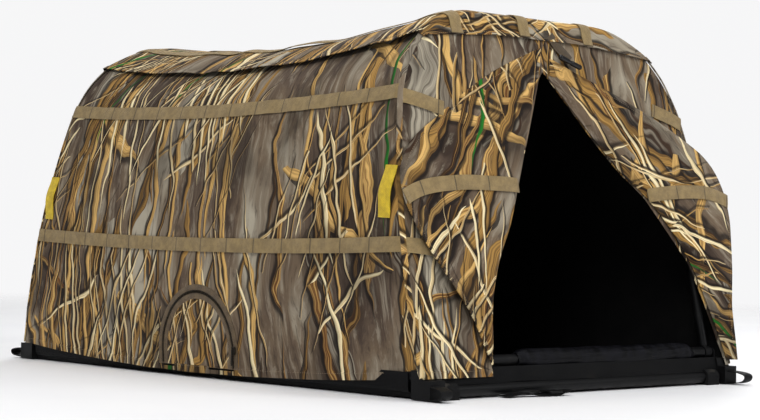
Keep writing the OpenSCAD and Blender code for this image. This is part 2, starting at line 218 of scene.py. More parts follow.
def end_relief(x, z, end):
    seed = 21 if end == "front" else 31
    billow = 0.003 * ripple(x * 4 + 7, z * 4, seed)
    crease = 0.0014 * ripple((x + 0.3 * z) * 19, z * 5, seed + 1)
    hem = 0.003 * ripple(x * 16, 0.3, seed + 2) * np.exp(-np.maximum(z - 0.035, 0) / 0.04)
    return billow + crease + hem


def end_point(end, x, z, out=0.0):
    """A point of an end wall at x from the mirror plane and height z, out from its face."""
    x, z = np.broadcast_arrays(np.asarray(x, float), np.asarray(z, float))
    lean = FRONT_LEAN if end == "front" else REAR_LEAN
    face = -1 if end == "front" else 1
    plane = front_y(z) if end == "front" else rear_y(z)
    gap = half_width(z) - np.abs(x)
    turn = np.clip(CORNER_R - gap, 0, CORNER_R)
    rounding = CORNER_R - np.sqrt(CORNER_R**2 - turn**2)
    lift = out + end_relief(x, z, end) * smooth(0.0, 0.03, gap) - rounding
    y = plane + face * lift * math.cos(lean)
    return np.stack([MID_X + x, y, z + lift * math.sin(lean)], -1)


# ---------------------------------------------------------------------------
# Mesh builders
# ---------------------------------------------------------------------------

def finish_mesh(name, verts, faces, materials, face_materials, body, cloth=None, sharp=40):
    mesh = bpy.data.meshes.new(name)
    mesh.from_pydata([tuple(v) for v in verts], [], faces)
    for m in materials:
        mesh.materials.append(m)
    mesh.polygons.foreach_set("material_index", face_materials)
    mesh.polygons.foreach_set("use_smooth", [True] * len(faces))
    if cloth is not None:
        attribute = mesh.attributes.new("cloth", "FLOAT_VECTOR", "POINT")
        flat = np.zeros((len(verts), 3), np.float32)
        flat[:, :2] = cloth
        attribute.data.foreach_set("vector", flat.ravel())
    mesh.validate()
    mesh.update()
    mesh.set_sharp_from_angle(angle=math.radians(sharp))
    piece = bpy.data.objects.new(name, mesh)
    bpy.context.scene.collection.objects.link(piece)
    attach(piece, body)
    return piece


def grid_normals(p):
    du = np.gradient(p, axis=0)
    dv = np.gradient(p, axis=1)
    n = np.cross(du, dv)
    return n / np.maximum(np.linalg.norm(n, axis=2, keepdims=True), 1e-12)


def grid_cloth(p, start=(0.0, 0.0)):
    """Flat cloth coordinates of a grid, in metres, from its own edge lengths."""
    du = np.linalg.norm(np.diff(p, axis=0), axis=2).mean(1)
    dv = np.linalg.norm(np.diff(p, axis=1), axis=2).mean(0)
    s = start[0] + np.concatenate([[0], np.cumsum(du)])
    t = start[1] + np.concatenate([[0], np.cumsum(dv)])
    return np.stack(np.meshgrid(s, t, indexing="ij"), -1)


def sheet_piece(name, p, materials, body, thick=CLOTH, cloth=None, keep=None):
    """A doubled cloth sheet from a grid of points: outer face, inner face and rim."""
    nu, nv = p.shape[:2]
    n = grid_normals(p)
    face_out = 1 if (n * (p - CENTRE)).sum() > 0 else -1
    n = n * face_out
    outer = p.reshape(-1, 3)
    inner = (p - n * thick).reshape(-1, 3)
    count = len(outer)
    index = np.arange(count).reshape(nu, nv)
    quads = np.stack([index[:-1, :-1], index[1:, :-1], index[1:, 1:], index[:-1, 1:]], -1)
    quads = quads.reshape(-1, 4)
    if keep is not None:
        quads = quads[keep(outer[quads].mean(1))]
    if face_out < 0:
        quads = quads[:, ::-1]
    edges = {}
    for q in quads.tolist():
        for a, b in zip(q, q[1:] + q[:1]):
            if (b, a) in edges:
                del edges[(b, a)]
            else:
                edges[(a, b)] = True
    rim = [[b, a, a + count, b + count] for a, b in edges]
    faces = quads.tolist() + (quads[:, ::-1] + count).tolist() + rim
    kinds = [0] * len(quads) + [len(materials) - 1] * len(quads) + [0] * len(rim)
    flat = grid_cloth(p) if cloth is None else cloth
    flat = np.concatenate([flat.reshape(-1, 2)] * 2)
    verts = np.concatenate([outer, inner])
    used = np.unique(np.array(quads).ravel())
    used = np.concatenate([used, used + count])
    renumber = np.zeros(2 * count, int)
    renumber[used] = np.arange(len(used))
    faces = [[int(renumber[i]) for i in f] for f in faces]
    return finish_mesh(name, verts[used], faces, materials, kinds, body, flat[used])


def band_piece(name, runs, width, thick, material, body, dome=0.0, cloth_start=0.0,
               upright=False):
    """Flat webbing along one or more runs. A run is (points, normals), and width may vary along it."""
    verts, faces, flat = [], [], []
    for run_index, (points, normals) in enumerate(runs):
        points, normals = np.asarray(points), np.asarray(normals)
        tangent = np.gradient(points, axis=0)
        tangent /= np.linalg.norm(tangent, axis=1, keepdims=True)
        across = np.cross(tangent, normals)
        across /= np.linalg.norm(across, axis=1, keepdims=True)
        up = np.cross(across, tangent)
        w = np.broadcast_to(np.asarray(width, float), (len(points),))[:, None]
        ring = [(-0.5, 0.15), (-0.5, 0.85), (-0.42, 1.0), (-0.2, 1.0 + dome), (0.0, 1.0 + dome),
                (0.2, 1.0 + dome), (0.42, 1.0), (0.5, 0.85), (0.5, 0.15), (0.0, 0.0)]
        s = along(points) + cloth_start + run_index * 0.37
        base = len(verts)
        for a, h in ring:
            verts.extend(points + across * w * a + up * thick * h)
            line = np.stack([s, np.full(len(s), a) * w[:, 0]], -1)
            flat.extend(line[:, ::-1] if upright else line)
        n, k = len(points), len(ring)
        for r in range(k):
            a, b = base + r * n, base + (r + 1) % k * n
            faces.extend([a + i, b + i, b + i + 1, a + i + 1] for i in range(n - 1))
        faces.append([base + r * n for r in range(k)][::-1])
        faces.append([base + r * n + n - 1 for r in range(k)])
    return finish_mesh(name, np.array(verts), faces, [material], [0] * len(faces), body,
                       np.array(flat), 50)


def ring_faces(rings, sides):
    """Faces of a closed shape made of rings of vertices, with a cap at each end."""
    faces = []
    for i in range(rings - 1):
        for k in range(sides):
            a, b = i * sides + k, i * sides + (k + 1) % sides
            faces.append([a, b, b + sides, a + sides])
    faces.append(list(range(sides))[::-1])
    faces.append([(rings - 1) * sides + k for k in range(sides)])
    return faces


def tube_mesh(points, radii, sides=12):
    """Vertices and faces of a closed round tube along a line."""
    points = np.asarray(points, float)
    radii = np.broadcast_to(np.asarray(radii, float), (len(points),))
    tangent = np.gradient(points, axis=0)
    tangent /= np.linalg.norm(tangent, axis=1, keepdims=True)
    side = np.cross(tangent[0], [0, 0, 1.0])
    if np.linalg.norm(side) < 0.1:
        side = np.cross(tangent[0], [1.0, 0, 0])
    verts = []
    for p, t, r in zip(points, tangent, radii):
        side = side - t * (side @ t)
        side /= np.linalg.norm(side)
        up = np.cross(side, t)
        for k in range(sides):
            a = 2 * math.pi * k / sides
            verts.append(p + side * r * math.cos(a) + up * r * math.sin(a))
    return np.array(verts), ring_faces(len(points), sides)


def join_meshes(parts):
    """One list of vertices and faces from several."""
    verts, faces, count = [], [], 0
    for v, f in parts:
        verts.append(np.asarray(v))
        faces.extend([[i + count for i in q] for q in f])
        count += len(v)
    return np.concatenate(verts), faces


def dashes(points, normals, pitch=0.0042, length=0.0028, radius=0.00045):
    """A row of stitches along a line, as small pointed bars."""
    s = along(points)
    parts = []
    for at in np.arange(pitch, s[-1] - pitch, pitch):
        ends = [np.array([np.interp(at + e, s, points[:, k]) for k in range(3)])
                for e in (-length / 2, length / 2)]
        up = np.array([np.interp(at, s, normals[:, k]) for k in range(3)])
        run = (ends[1] - ends[0]) / max(np.linalg.norm(ends[1] - ends[0]), 1e-9)
        side = np.cross(run, up)
        mid = (ends[0] + ends[1]) / 2
        ring = [mid + side * radius, mid + up * radius, mid - side * radius, mid - up * radius]
        verts = [ends[0], *ring, ends[1]]
        faces = [[0, 2, 1], [0, 3, 2], [0, 4, 3], [0, 1, 4], [5, 1, 2], [5, 2, 3], [5, 3, 4],
                 [5, 4, 1]]
        parts.append((verts, faces))
    return join_meshes(parts)


def solid_piece(name, parts, material, body, sharp=35):
    verts, faces = join_meshes(parts)
    return finish_mesh(name, verts, faces, [material], [0] * len(faces), body,
                       np.asarray(verts)[:, [0, 2]], sharp)


# ---------------------------------------------------------------------------
# Materials
# ---------------------------------------------------------------------------

def srgb(red, green, blue):
    """A screen colour from 0 to 255 as Blender's linear colour."""
    linear = [((c / 255 + 0.055) / 1.055) ** 2.4 if c > 10 else c / 255 / 12.92
              for c in (red, green, blue)]
    return (*linear, 1.0)


class Graph:
    """Builds a node tree in few words. A value is a number, a colour or another node's socket."""

    def __init__(self, tree):
        self.tree = tree

    def feed(self, socket, value):
        if isinstance(value, bpy.types.NodeSocket):
            self.tree.links.new(value, socket)
        elif value is not None:
            socket.default_value = value

    def node(self, kind, *values, **settings):
        made_node = self.tree.nodes.new("ShaderNode" + kind)
        for key, value in settings.items():
            setattr(made_node, key, value)
        for socket, value in zip(made_node.inputs, values):
            self.feed(socket, value)
        return made_node

    def math(self, operation, *values):
        return self.node("Math", *values, operation=operation).outputs[0]

    def vector(self, operation, *values):
        return self.node("VectorMath", *values, operation=operation).outputs[0]

    def join(self, x, y, z=0.0):
        return self.node("CombineXYZ", x, y, z).outputs[0]

    def split(self, value):
        return self.node("SeparateXYZ", value).outputs

    def mix(self, share, a, b, blend="MIX"):
        made_node = self.node("Mix", share, data_type="RGBA", blend_type=blend)
        self.feed(made_node.inputs[6], a)
        self.feed(made_node.inputs[7], b)
        return made_node.outputs[2]

    def noise(self, place, scale, detail=2.0, rough=0.5, **settings):
        return self.node("TexNoise", place, None, scale, detail, rough, **settings)

    def step(self, value, low, high, start=0.0, end=1.0):
        return self.node("MapRange", value, low, high, start, end,
                         interpolation_type="SMOOTHSTEP").outputs[0]

    def ramp(self, value, stops):
        made_node = self.node("ValToRGB", value)
        elements = made_node.color_ramp.elements
        while len(elements) < len(stops):
            elements.new(0.5)
        for element, (at, colour) in zip(elements, stops):
            element.position = at
            element.color = colour
        return made_node.outputs[0]

    def bump(self, height, strength, distance, under=None):
        made_node = self.node("Bump", strength, distance)
        self.feed(made_node.inputs["Height"], height)
        self.feed(made_node.inputs["Normal"], under)
        return made_node.outputs[0]


def new_material(name, roughness, sheen=0.0, metallic=0.0, specular=0.5, coat=0.0):
    """A material with a Principled shader, and the graph to feed it."""
    material = bpy.data.materials.new(name)
    material.use_nodes = True
    graph = Graph(material.node_tree)
    shader = material.node_tree.nodes["Principled BSDF"]
    shader.inputs["Roughness"].default_value = roughness
    shader.inputs["Sheen Weight"].default_value = sheen
    shader.inputs["Sheen Roughness"].default_value = 0.6
    shader.inputs["Metallic"].default_value = metallic
    shader.inputs["Specular IOR Level"].default_value = specular
    shader.inputs["Coat Weight"].default_value = coat
    return material, graph, shader


def cloth_place(graph):
    return graph.node("Attribute", attribute_name="cloth").outputs["Vector"]


def thread_height(graph, place, pitch):
    """Over-and-under threads of a plain weave, from 0 to 1."""
    x, y, _ = graph.split(graph.vector("MULTIPLY", place, (math.tau / pitch,) * 3))
    return graph.math("ADD", graph.math("MULTIPLY", graph.math("SINE", x),
                                        graph.math("SINE", y)), 1.0)


def reed_group():
    """One layer of printed reeds: slim leaves with a bright and a dark half, veins and a shadow."""
    tree = bpy.data.node_groups.new("reeds", "ShaderNodeTree")
    kinds = {"Color": ["Under", "Light", "Dark"], "Vector": ["Cloth"],
             "Float": ["Angle", "Width", "Length", "Bend", "Cover", "Slim", "Seed", "Shade"]}
    for kind, names in kinds.items():
        for name in names:
            tree.interface.new_socket(name, in_out="INPUT", socket_type="NodeSocket" + kind)
    tree.interface.new_socket("Colour", in_out="OUTPUT", socket_type="NodeSocketColor")
    graph = Graph(tree)
    start = tree.nodes.new("NodeGroupInput")
    given = {socket.name: socket for socket in start.outputs if socket.name}

    moved = graph.vector("ADD", given["Cloth"], graph.join(given["Seed"], given["Seed"], 0.0))
    wave = graph.noise(moved, 6.5, 2.5, 0.55, noise_dimensions="2D").outputs["Color"]
    push = graph.vector("SCALE", graph.vector("SUBTRACT", wave, (0.5, 0.5, 0.5)))
    graph.feed(push.node.inputs["Scale"], given["Bend"])
    bent = graph.vector("ADD", moved, push)
    turned = graph.node("VectorRotate", bent, rotation_type="Z_AXIS")
    graph.feed(turned.inputs["Angle"], given["Angle"])
    size = graph.join(given["Width"], given["Length"], 1.0)
    cell = graph.vector("DIVIDE", turned.outputs[0], size)
    cells = graph.node("TexVoronoi", cell, voronoi_dimensions="2D")
    cells.inputs["Scale"].default_value = 1.0
    centre = cells.outputs["Position"]
    across, up, _ = graph.split(graph.vector("SUBTRACT", cell, centre))
    chance = graph.node("SeparateColor", cells.outputs["Color"]).outputs
    tilt = graph.math("MULTIPLY", graph.math("SUBTRACT", chance[0], 0.5), 0.9)
    across = graph.math("MULTIPLY_ADD", up, tilt, across)

    taper = graph.math("MULTIPLY_ADD", graph.math("MULTIPLY", up, up), -2.2, 1.0)
    wide = graph.math("MULTIPLY", graph.math("MULTIPLY_ADD", chance[1], 0.26, 0.10), given["Slim"])
    half = graph.math("MULTIPLY", graph.math("MAXIMUM", taper, 0.0), wide)
    inside = graph.math("SUBTRACT", half, graph.math("ABSOLUTE", across))
    beside = graph.math("SUBTRACT", half,
                        graph.math("ABSOLUTE", graph.math("SUBTRACT", across, 0.13)))

    middle = graph.vector("MULTIPLY", centre, size)
    patch = graph.noise(middle, 3.2, 1.0, 0.5, noise_dimensions="2D").outputs[0]
    back = graph.node("VectorRotate", middle, rotation_type="Z_AXIS", invert=True)
    graph.feed(back.inputs["Angle"], given["Angle"])
    home = graph.vector("SUBTRACT", back.outputs[0], graph.join(given["Seed"], given["Seed"], 0.0))
    thicket = graph.noise(home, 4.2, 1.0, 0.5, noise_dimensions="2D").outputs[0]
    limit = graph.math("MULTIPLY_ADD", graph.math("SUBTRACT", patch, 0.5), 2.2, given["Cover"])
    limit = graph.math("MULTIPLY_ADD", graph.math("SUBTRACT", thicket, 0.5), 3.6, limit)
    grown = graph.math("LESS_THAN", chance[2], limit)
    leaf = graph.math("MULTIPLY", graph.step(inside, 0.0, 0.014), grown)
    shade = graph.math("MULTIPLY", graph.step(beside, -0.09, 0.05), grown)
    shade = graph.math("MULTIPLY", shade, given["Shade"])

    run = graph.join(graph.math("MULTIPLY_ADD", across, 16.0, graph.math("MULTIPLY", chance[0], 40.0)),
                     graph.math("MULTIPLY_ADD", up, 1.6, graph.math("MULTIPLY", chance[1], 40.0)))
    veins = graph.noise(run, 1.0, 3.0, 0.6, noise_dimensions="2D").outputs[0]
    tone = graph.math("MULTIPLY_ADD", graph.math("SUBTRACT", chance[1], 0.5), 0.9,
                      graph.step(veins, 0.30, 0.72))
    colour = graph.mix(graph.math("MAXIMUM", graph.math("MINIMUM", tone, 1.0), 0.0),
                       given["Dark"], given["Light"])
    turn = graph.math("DIVIDE", across, graph.math("MAXIMUM", half, 0.004))
    dim = graph.math("MAXIMUM", graph.step(turn, 0.1, 1.0), graph.step(turn, -0.8, -1.0))
    colour = graph.mix(graph.math("MULTIPLY", dim, 0.68), colour, srgb(58, 35, 16))
    ground = graph.mix(graph.math("MULTIPLY", shade, 0.90), given["Under"], srgb(22, 14, 9))
    end = tree.nodes.new("NodeGroupOutput")
    graph.feed(end.inputs[0], graph.mix(leaf, ground, colour))
    return tree


REEDS = reed_group()
CREAM = srgb(252, 236, 190)
STRAW = srgb(222, 180, 108)
GOLD = srgb(172, 132, 70)
RUST = srgb(100, 62, 28)
UMBER = srgb(52, 33, 18)
BARK = srgb(112, 95, 76)
ASH = srgb(172, 163, 144)
SOIL = srgb(54, 41, 31)
GREEN = srgb(30, 128, 34)
MOSS = srgb(22, 74, 26)

# angle, width, length, bend, cover, slim, light colour, dark colour, shadow
REED_LAYERS = [
    (0.12, 0.130, 0.40, 0.110, 0.26, 1.30, ASH, SOIL, 0.40),
    (-0.22, 0.064, 0.38, 0.110, 0.26, 0.95, GOLD, UMBER, 0.95),
    (0.08, 0.050, 0.46, 0.100, 0.32, 0.85, STRAW, RUST, 1.00),
    (1.10, 0.060, 0.34, 0.070, 0.08, 0.55, STRAW, RUST, 0.90),
    (-0.14, 0.036, 0.36, 0.080, 0.34, 0.85, GOLD, UMBER, 1.00),
    (0.04, 0.024, 0.34, 0.070, 0.34, 0.85, STRAW, RUST, 1.00),
    (-0.20, 0.150, 0.40, 0.060, 0.26, 0.15, GREEN, MOSS, 0.60),
    (-1.00, 0.040, 0.24, 0.060, 0.10, 0.34, CREAM, GOLD, 0.90),
    (0.24, 0.022, 0.26, 0.060, 0.30, 0.66, CREAM, GOLD, 1.00),
    (-0.50, 0.028, 0.20, 0.055, 0.18, 0.36, CREAM, GOLD, 1.00),
]


def camo_colour(graph, place):
    """The print: mottled bark under layers of reeds."""
    tall = graph.vector("MULTIPLY", place, (1.0, 0.42, 1.0))
    warp = graph.noise(tall, 9.0, 3.0, noise_dimensions="2D").outputs["Color"]
    swirl = graph.node("VectorMath", warp, operation="SCALE")
    swirl.inputs["Scale"].default_value = 0.09
    tall = graph.vector("ADD", tall, swirl.outputs[0])
    broad = graph.noise(tall, 7.0, 3.0, 0.55, noise_dimensions="2D").outputs[0]
    fine = graph.noise(graph.vector("MULTIPLY", tall, (1.0, 0.4, 1.0)), 75.0, 4.0, 0.7,
                       noise_dimensions="2D").outputs[0]
    ground = graph.ramp(broad, [(0.32, SOIL), (0.42, srgb(88, 73, 60)), (0.52, BARK),
                                (0.61, srgb(136, 124, 106)), (0.70, ASH)])
    ground = graph.mix(graph.step(fine, 0.50, 0.72, 0.0, 0.45), ground, srgb(178, 168, 148))
    ground = graph.mix(graph.step(fine, 0.48, 0.28, 0.0, 0.60), ground, srgb(52, 40, 34))
    colour = ground
    for number, layer in enumerate(REED_LAYERS):
        angle, width, length, bend, cover, slim, light, dark, shade = layer
        reeds = graph.tree.nodes.new("ShaderNodeGroup")
        reeds.node_tree = REEDS
        values = dict(Under=colour, Cloth=place, Angle=angle, Width=width, Length=length,
                      Bend=bend, Cover=cover, Slim=slim, Seed=3.7 + 1.3 * number, Light=light,
                      Dark=dark, Shade=shade)
        for name, value in values.items():
            graph.feed(reeds.inputs[name], value)
        colour = reeds.outputs[0]
    depth = graph.noise(place, 5.5, 2.0, 0.5, noise_dimensions="2D").outputs[0]
    return graph.mix(graph.step(depth, 0.46, 0.30, 0.0, 0.50), colour, srgb(22, 14, 9))


def camo_cloth():
    """Printed oxford polyester: camouflage with a plain weave, small creases and worn high spots."""
    material, graph, shader = new_material("camo_cloth", 0.78, sheen=0.03, specular=0.12)
    place = cloth_place(graph)
    colour = camo_colour(graph, place)
    grain = graph.noise(place, 900.0, 1.0, noise_dimensions="2D").outputs[0]
    colour = graph.mix(graph.step(grain, 0.45, 0.75, 0.0, 0.10), colour, srgb(20, 16, 12))
    graph.feed(shader.inputs["Base Color"], colour)
    creases = graph.noise(place, 42.0, 3.0, 0.55, noise_dimensions="2D").outputs[0]
    normal = graph.bump(creases, 0.25, 0.003)
    normal = graph.bump(thread_height(graph, place, 0.0011), 0.22, 0.0003, normal)
    graph.feed(shader.inputs["Normal"], normal)
    rough = graph.noise(place, 18.0, 2.0, noise_dimensions="2D").outputs[0]
    graph.feed(shader.inputs["Roughness"], graph.step(rough, 0.3, 0.7, 0.70, 0.86))
    return material


def coated_cloth():
    """The black waterproof inner face of the cover."""
    material, graph, shader = new_material("coated_cloth", 0.55, specular=0.25)
    place = cloth_place(graph)
    dust = graph.noise(place, 25.0, 4.0, 0.6, noise_dimensions="2D").outputs[0]
    graph.feed(shader.inputs["Base Color"],
               graph.mix(graph.step(dust, 0.3, 0.8), srgb(7, 7, 8), srgb(15, 14, 14)))
    graph.feed(shader.inputs["Normal"],
               graph.bump(thread_height(graph, place, 0.0011), 0.25, 0.0003))
    return material


def webbing(name, base, dark, light, pitch=0.0017, tacks=0.0, roughness=0.72, sheen=0.1,
            specular=0.3):
    """Woven tape: slanted ribs, lengthwise cords and, where it is a brush strap, bar-tacks."""
    material, graph, shader = new_material(name, roughness, sheen=sheen, specular=specular)
    place = cloth_place(graph)
    s, t, _ = graph.split(place)
    rib = graph.math("SINE", graph.math("MULTIPLY", graph.math(
        "ADD", s, graph.math("MULTIPLY", graph.math("ABSOLUTE", t), 0.6)), math.tau / pitch))
    cord = graph.math("SINE", graph.math("MULTIPLY", t, math.tau / 0.0021))
    height = graph.math("ADD", rib, graph.math("MULTIPLY", cord, 0.5))
    wear = graph.noise(place, 60.0, 4.0, 0.65, noise_dimensions="2D").outputs[0]
    colour = graph.mix(graph.step(wear, 0.3, 0.75), dark, base)
    # Painted highlight: the rib crests, where the bump is highest, are mixed towards the light colour.
    colour = graph.mix(graph.step(rib, -0.2, 1.0, 0.0, 0.35), colour, light)
    normal = graph.bump(height, 0.55, 0.0004)
    if tacks:
        phase = graph.math("PINGPONG", s, tacks / 2)
        tack = graph.step(phase, 0.0016, 0.0009)
        colour = graph.mix(graph.math("MULTIPLY", tack, 0.65), colour, srgb(46, 36, 26))
        normal = graph.bump(graph.math("SUBTRACT", 1.0, tack), 0.6, 0.0007, normal)
    graph.feed(shader.inputs["Base Color"], colour)
    graph.feed(shader.inputs["Normal"], normal)
    return material


def black_cloth():
    """Heavy black coated cloth of the floor and the ground skirt."""
    material, graph, shader = new_material("black_cloth", 0.55, specular=0.10)
    place = cloth_place(graph)
    dust = graph.noise(place, 14.0, 5.0, 0.65, noise_dimensions="2D").outputs[0]
    graph.feed(shader.inputs["Base Color"],
               graph.ramp(dust, [(0.30, srgb(6, 6, 7)), (0.62, srgb(11, 11, 12)),
                                 (0.80, srgb(24, 22, 20))]))
    normal = graph.bump(dust, 0.3, 0.004)
    graph.feed(shader.inputs["Normal"],
               graph.bump(thread_height(graph, place, 0.0014), 0.35, 0.0004, normal))
    return material


def pad_vinyl():
    """Soft black coated sleeve of the sill pad, with fine transverse creases and painted sheen on their
    tops.
    """
    material, graph, shader = new_material("pad_vinyl", 0.38, specular=0.09)
    place = cloth_place(graph)
    long_way = graph.vector("MULTIPLY", place, (1.0, 0.35, 1.0))
    crease = graph.noise(long_way, 70.0, 4.0, 0.6, noise_dimensions="2D").outputs[0]
    # Painted sheen: the raised crease tops are mixed from near black towards a lighter bluish black.
    graph.feed(shader.inputs["Base Color"],
               graph.mix(graph.step(crease, 0.35, 0.75), srgb(6, 6, 8), srgb(20, 20, 25)))
    graph.feed(shader.inputs["Roughness"], graph.step(crease, 0.3, 0.7, 0.30, 0.50))
    normal = graph.bump(crease, 0.45, 0.0016)
    graph.feed(shader.inputs["Normal"],
               graph.bump(thread_height(graph, place, 0.0012), 0.25, 0.0003, normal))
    return material


def hard_black(name, roughness, speck, grain, wear=None, coat=0.0, base=srgb(8, 8, 9)):
    """Moulded plastic, rubber or powder coat: fine grain, uneven gloss and scuffed marks."""
    material, graph, shader = new_material(name, roughness, specular=0.16, coat=coat)
    place = graph.node("TexCoord").outputs["Object"]
    coarse = graph.noise(place, 28.0, 5.0, 0.65).outputs[0]
    pores = graph.noise(place, grain, 2.0, 0.6).outputs[0]
    scuff = graph.step(coarse, 0.60, 0.70)
    colour = graph.mix(graph.step(pores, 0.4, 0.8), base, speck)
    if wear:
        colour = graph.mix(graph.math("MULTIPLY", scuff, 0.5), colour, wear)
    graph.feed(shader.inputs["Base Color"], colour)
    graph.feed(shader.inputs["Roughness"],
               graph.step(coarse, 0.35, 0.70, roughness, min(roughness + 0.22, 1.0)))
    graph.feed(shader.inputs["Normal"], graph.bump(pores, 0.25, 0.0004))
    return material


def zinc_steel():
    material, graph, shader = new_material("zinc_steel", 0.34, metallic=1.0)
    place = graph.node("TexCoord").outputs["Object"]
    brushed = graph.noise(graph.vector("MULTIPLY", place, (20.0, 1.0, 1.0)), 160.0, 3.0).outputs[0]
    dull = graph.noise(place, 90.0, 4.0, 0.6).outputs[0]
    graph.feed(shader.inputs["Base Color"],
               graph.mix(graph.step(dull, 0.4, 0.7), srgb(176, 178, 180), srgb(118, 112, 100)))
    graph.feed(shader.inputs["Roughness"], graph.step(dull, 0.35, 0.7, 0.28, 0.5))
    graph.feed(shader.inputs["Normal"], graph.bump(brushed, 0.15, 0.0002))
    return material


def thread(name, light, dark):
    """Spun sewing thread with its twist."""
    material, graph, shader = new_material(name, 0.6, sheen=0.15)
    place = graph.node("TexCoord").outputs["Object"]
    twist = graph.noise(place, 1400.0, 1.0).outputs[0]
    graph.feed(shader.inputs["Base Color"], graph.mix(graph.step(twist, 0.3, 0.7), dark, light))
    graph.feed(shader.inputs["Normal"], graph.bump(twist, 0.4, 0.0003))
    return material


CAMO = camo_cloth()
COATED = coated_cloth()
OLIVE = webbing("olive_webbing", srgb(150, 127, 82), srgb(122, 102, 64), srgb(176, 152, 106),
                tacks=0.074)
YELLOW = webbing("yellow_webbing", srgb(224, 192, 26), srgb(186, 154, 16), srgb(240, 214, 80),
                 pitch=0.0026)
BLACK_WEB = webbing("black_webbing", srgb(10, 10, 11), srgb(6, 6, 6), srgb(28, 28, 30),
                    roughness=0.5, sheen=0.0, specular=0.15)
LOOP_WEB = webbing("loop_webbing", srgb(84, 68, 46), srgb(60, 48, 32), srgb(104, 88, 62))
ZIP_TAPE = webbing("zip_tape", srgb(106, 86, 58), srgb(78, 62, 42), srgb(126, 106, 76),
                   pitch=0.0012)
FLOOR_CLOTH = black_cloth()
PAD = pad_vinyl()
TUBE_PAINT = hard_black("tube_paint", 0.34, srgb(16, 16, 17), 1500.0, srgb(34, 33, 32))
PLASTIC = hard_black("connector_plastic", 0.46, srgb(16, 16, 17), 1100.0, srgb(34, 34, 34))
GLOSS = hard_black("gloss_plastic", 0.16, srgb(16, 16, 18), 500.0, coat=0.35)
RUBBER = hard_black("foot_rubber", 0.72, srgb(34, 34, 34), 800.0, srgb(70, 66, 60))
COIL = hard_black("zip_coil", 0.30, srgb(44, 38, 30), 900.0, base=srgb(30, 26, 20))
STEEL = zinc_steel()
DARK_THREAD = thread("dark_thread", srgb(70, 54, 38), srgb(38, 28, 20))
TAN_THREAD = thread("tan_thread", srgb(150, 128, 96), srgb(110, 92, 66))


# ---------------------------------------------------------------------------
# Cover: walls, roof, end panels
# ---------------------------------------------------------------------------

HATCH_Y = -0.010
HATCH_Z = 0.046
HATCH_R = 0.103
HATCH_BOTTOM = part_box("hatch_flap")[0].z
PANEL_TOP_Z = 0.590
SKIRT_MID_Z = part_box("front_left_panel")[1].z - 0.038
SKIRT_CORNER_Z = ROOF_HEM_Z
GRID = 0.008


def spread(count):
    """Shares from 0 to 1, closer together near both ends."""
    t = np.linspace(0, 1, count)
    return 0.75 * t + 0.25 * (0.5 - 0.5 * np.cos(math.pi * t))


def wall_at(side, y, z, out=0.0):
    """A side wall's point at a place along Y and a real height, after the span's sag."""
    y, z = np.broadcast_arrays(np.asarray(y, float), np.asarray(z, float))
    nominal = z.copy()
    for _ in range(5):
        y0, y1 = front_y(nominal) + CORNER_CUT, rear_y(nominal) - CORNER_CUT
        u = np.clip((y - y0) / (y1 - y0), 0, 1)
        nominal = z + span_sag(u, nominal)
    return wall_point(side, u, distance_at(nominal), out)


def side_wall(side, name, node, materials, keep=None):
    u = spread(int(2 * HALF_LENGTH / GRID) + 1)
    top, hem = distance_at(PANEL_TOP_Z), distance_at(HEM_CORNER_Z)
    d = np.concatenate([np.linspace(top, hem - 0.012, 68), [hem - 0.0112, hem - 0.006, hem]])
    doubled = np.where(d > hem - 0.0115, HEM_EXTRA, 0.0)
    p = wall_point(side, u[:, None], d[None, :], doubled[None, :])
    flat = np.stack(np.meshgrid(u * 2 * HALF_LENGTH, -d, indexing="ij"), -1)
    flat[..., 0] += 4.0 if side > 0 else 0.0
    piece = sheet_piece(name, p, materials, "base", cloth=flat, keep=keep)
    soft(piece, node)


def soft(piece, *nodes):
    """A cover piece that stands for some CAD nodes: it hides them and gets its own mesh."""
    if nodes:
        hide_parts(*nodes)
    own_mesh(piece)


def in_hatch(middles):
    """False for the faces that lie in the hatch's opening."""
    y, z = middles[:, 1], middles[:, 2]
    round_part = (np.hypot(y - HATCH_Y, z - HATCH_Z) < HATCH_R) & (z >= HATCH_Z)
    low_part = (np.abs(y - HATCH_Y) < HATCH_R) & (z < HATCH_Z) & (z > HATCH_BOTTOM)
    return ~(round_part | low_part)


def skirt_hem(x):
    """Height of the roof skirt's hem on an end wall, at x from the mirror plane."""
    a = np.abs(x) / 0.30
    return SKIRT_MID_Z + 0.003 - (SKIRT_MID_Z - SKIRT_CORNER_Z + 0.002) * smooth(0.25, 1.0, a)


def roof_path(d, end, out):
    """Skirt of one roof end for each column: rows of points from the hem up to the top edge."""
    x, z, nx, nz = profile(d)
    lean = FRONT_LEAN if end == "front" else REAR_LEAN
    face = -1 if end == "front" else 1
    plane = front_y if end == "front" else rear_y
    hem = np.minimum(skirt_hem(x), z - 0.003)
    tall = z - hem
    r = np.minimum(0.013, 0.45 * tall)
    seed = 41 if end == "front" else 43
    rows = []
    for k in range(7):
        share = k / 6
        zz = hem + (z - r - hem) * share
        loose = (1 - share)**2 * (0.0040 + 0.0026 * ripple(x * 17, 0.2, seed))
        lift = out + loose + 0.0012 * ripple(x * 24, zz * 30, seed + 1)
        lift = lift + HEM_EXTRA * (zz < hem + 0.011)
        rows.append(np.stack([x, plane(zz) + face * lift * math.cos(lean),
                              zz + lift * math.sin(lean)], -1))
    top = np.stack([x + nx * out, plane(z) - face * r, z + nz * out], -1)
    corner = np.stack([x + nx * out, plane(z) + face * out, z + nz * out], -1)
    last = rows[-1]
    for t in (0.25, 0.5, 0.75):
        rows.append((1 - t)**2 * last + 2 * t * (1 - t) * corner + t * t * top)
    return rows, r


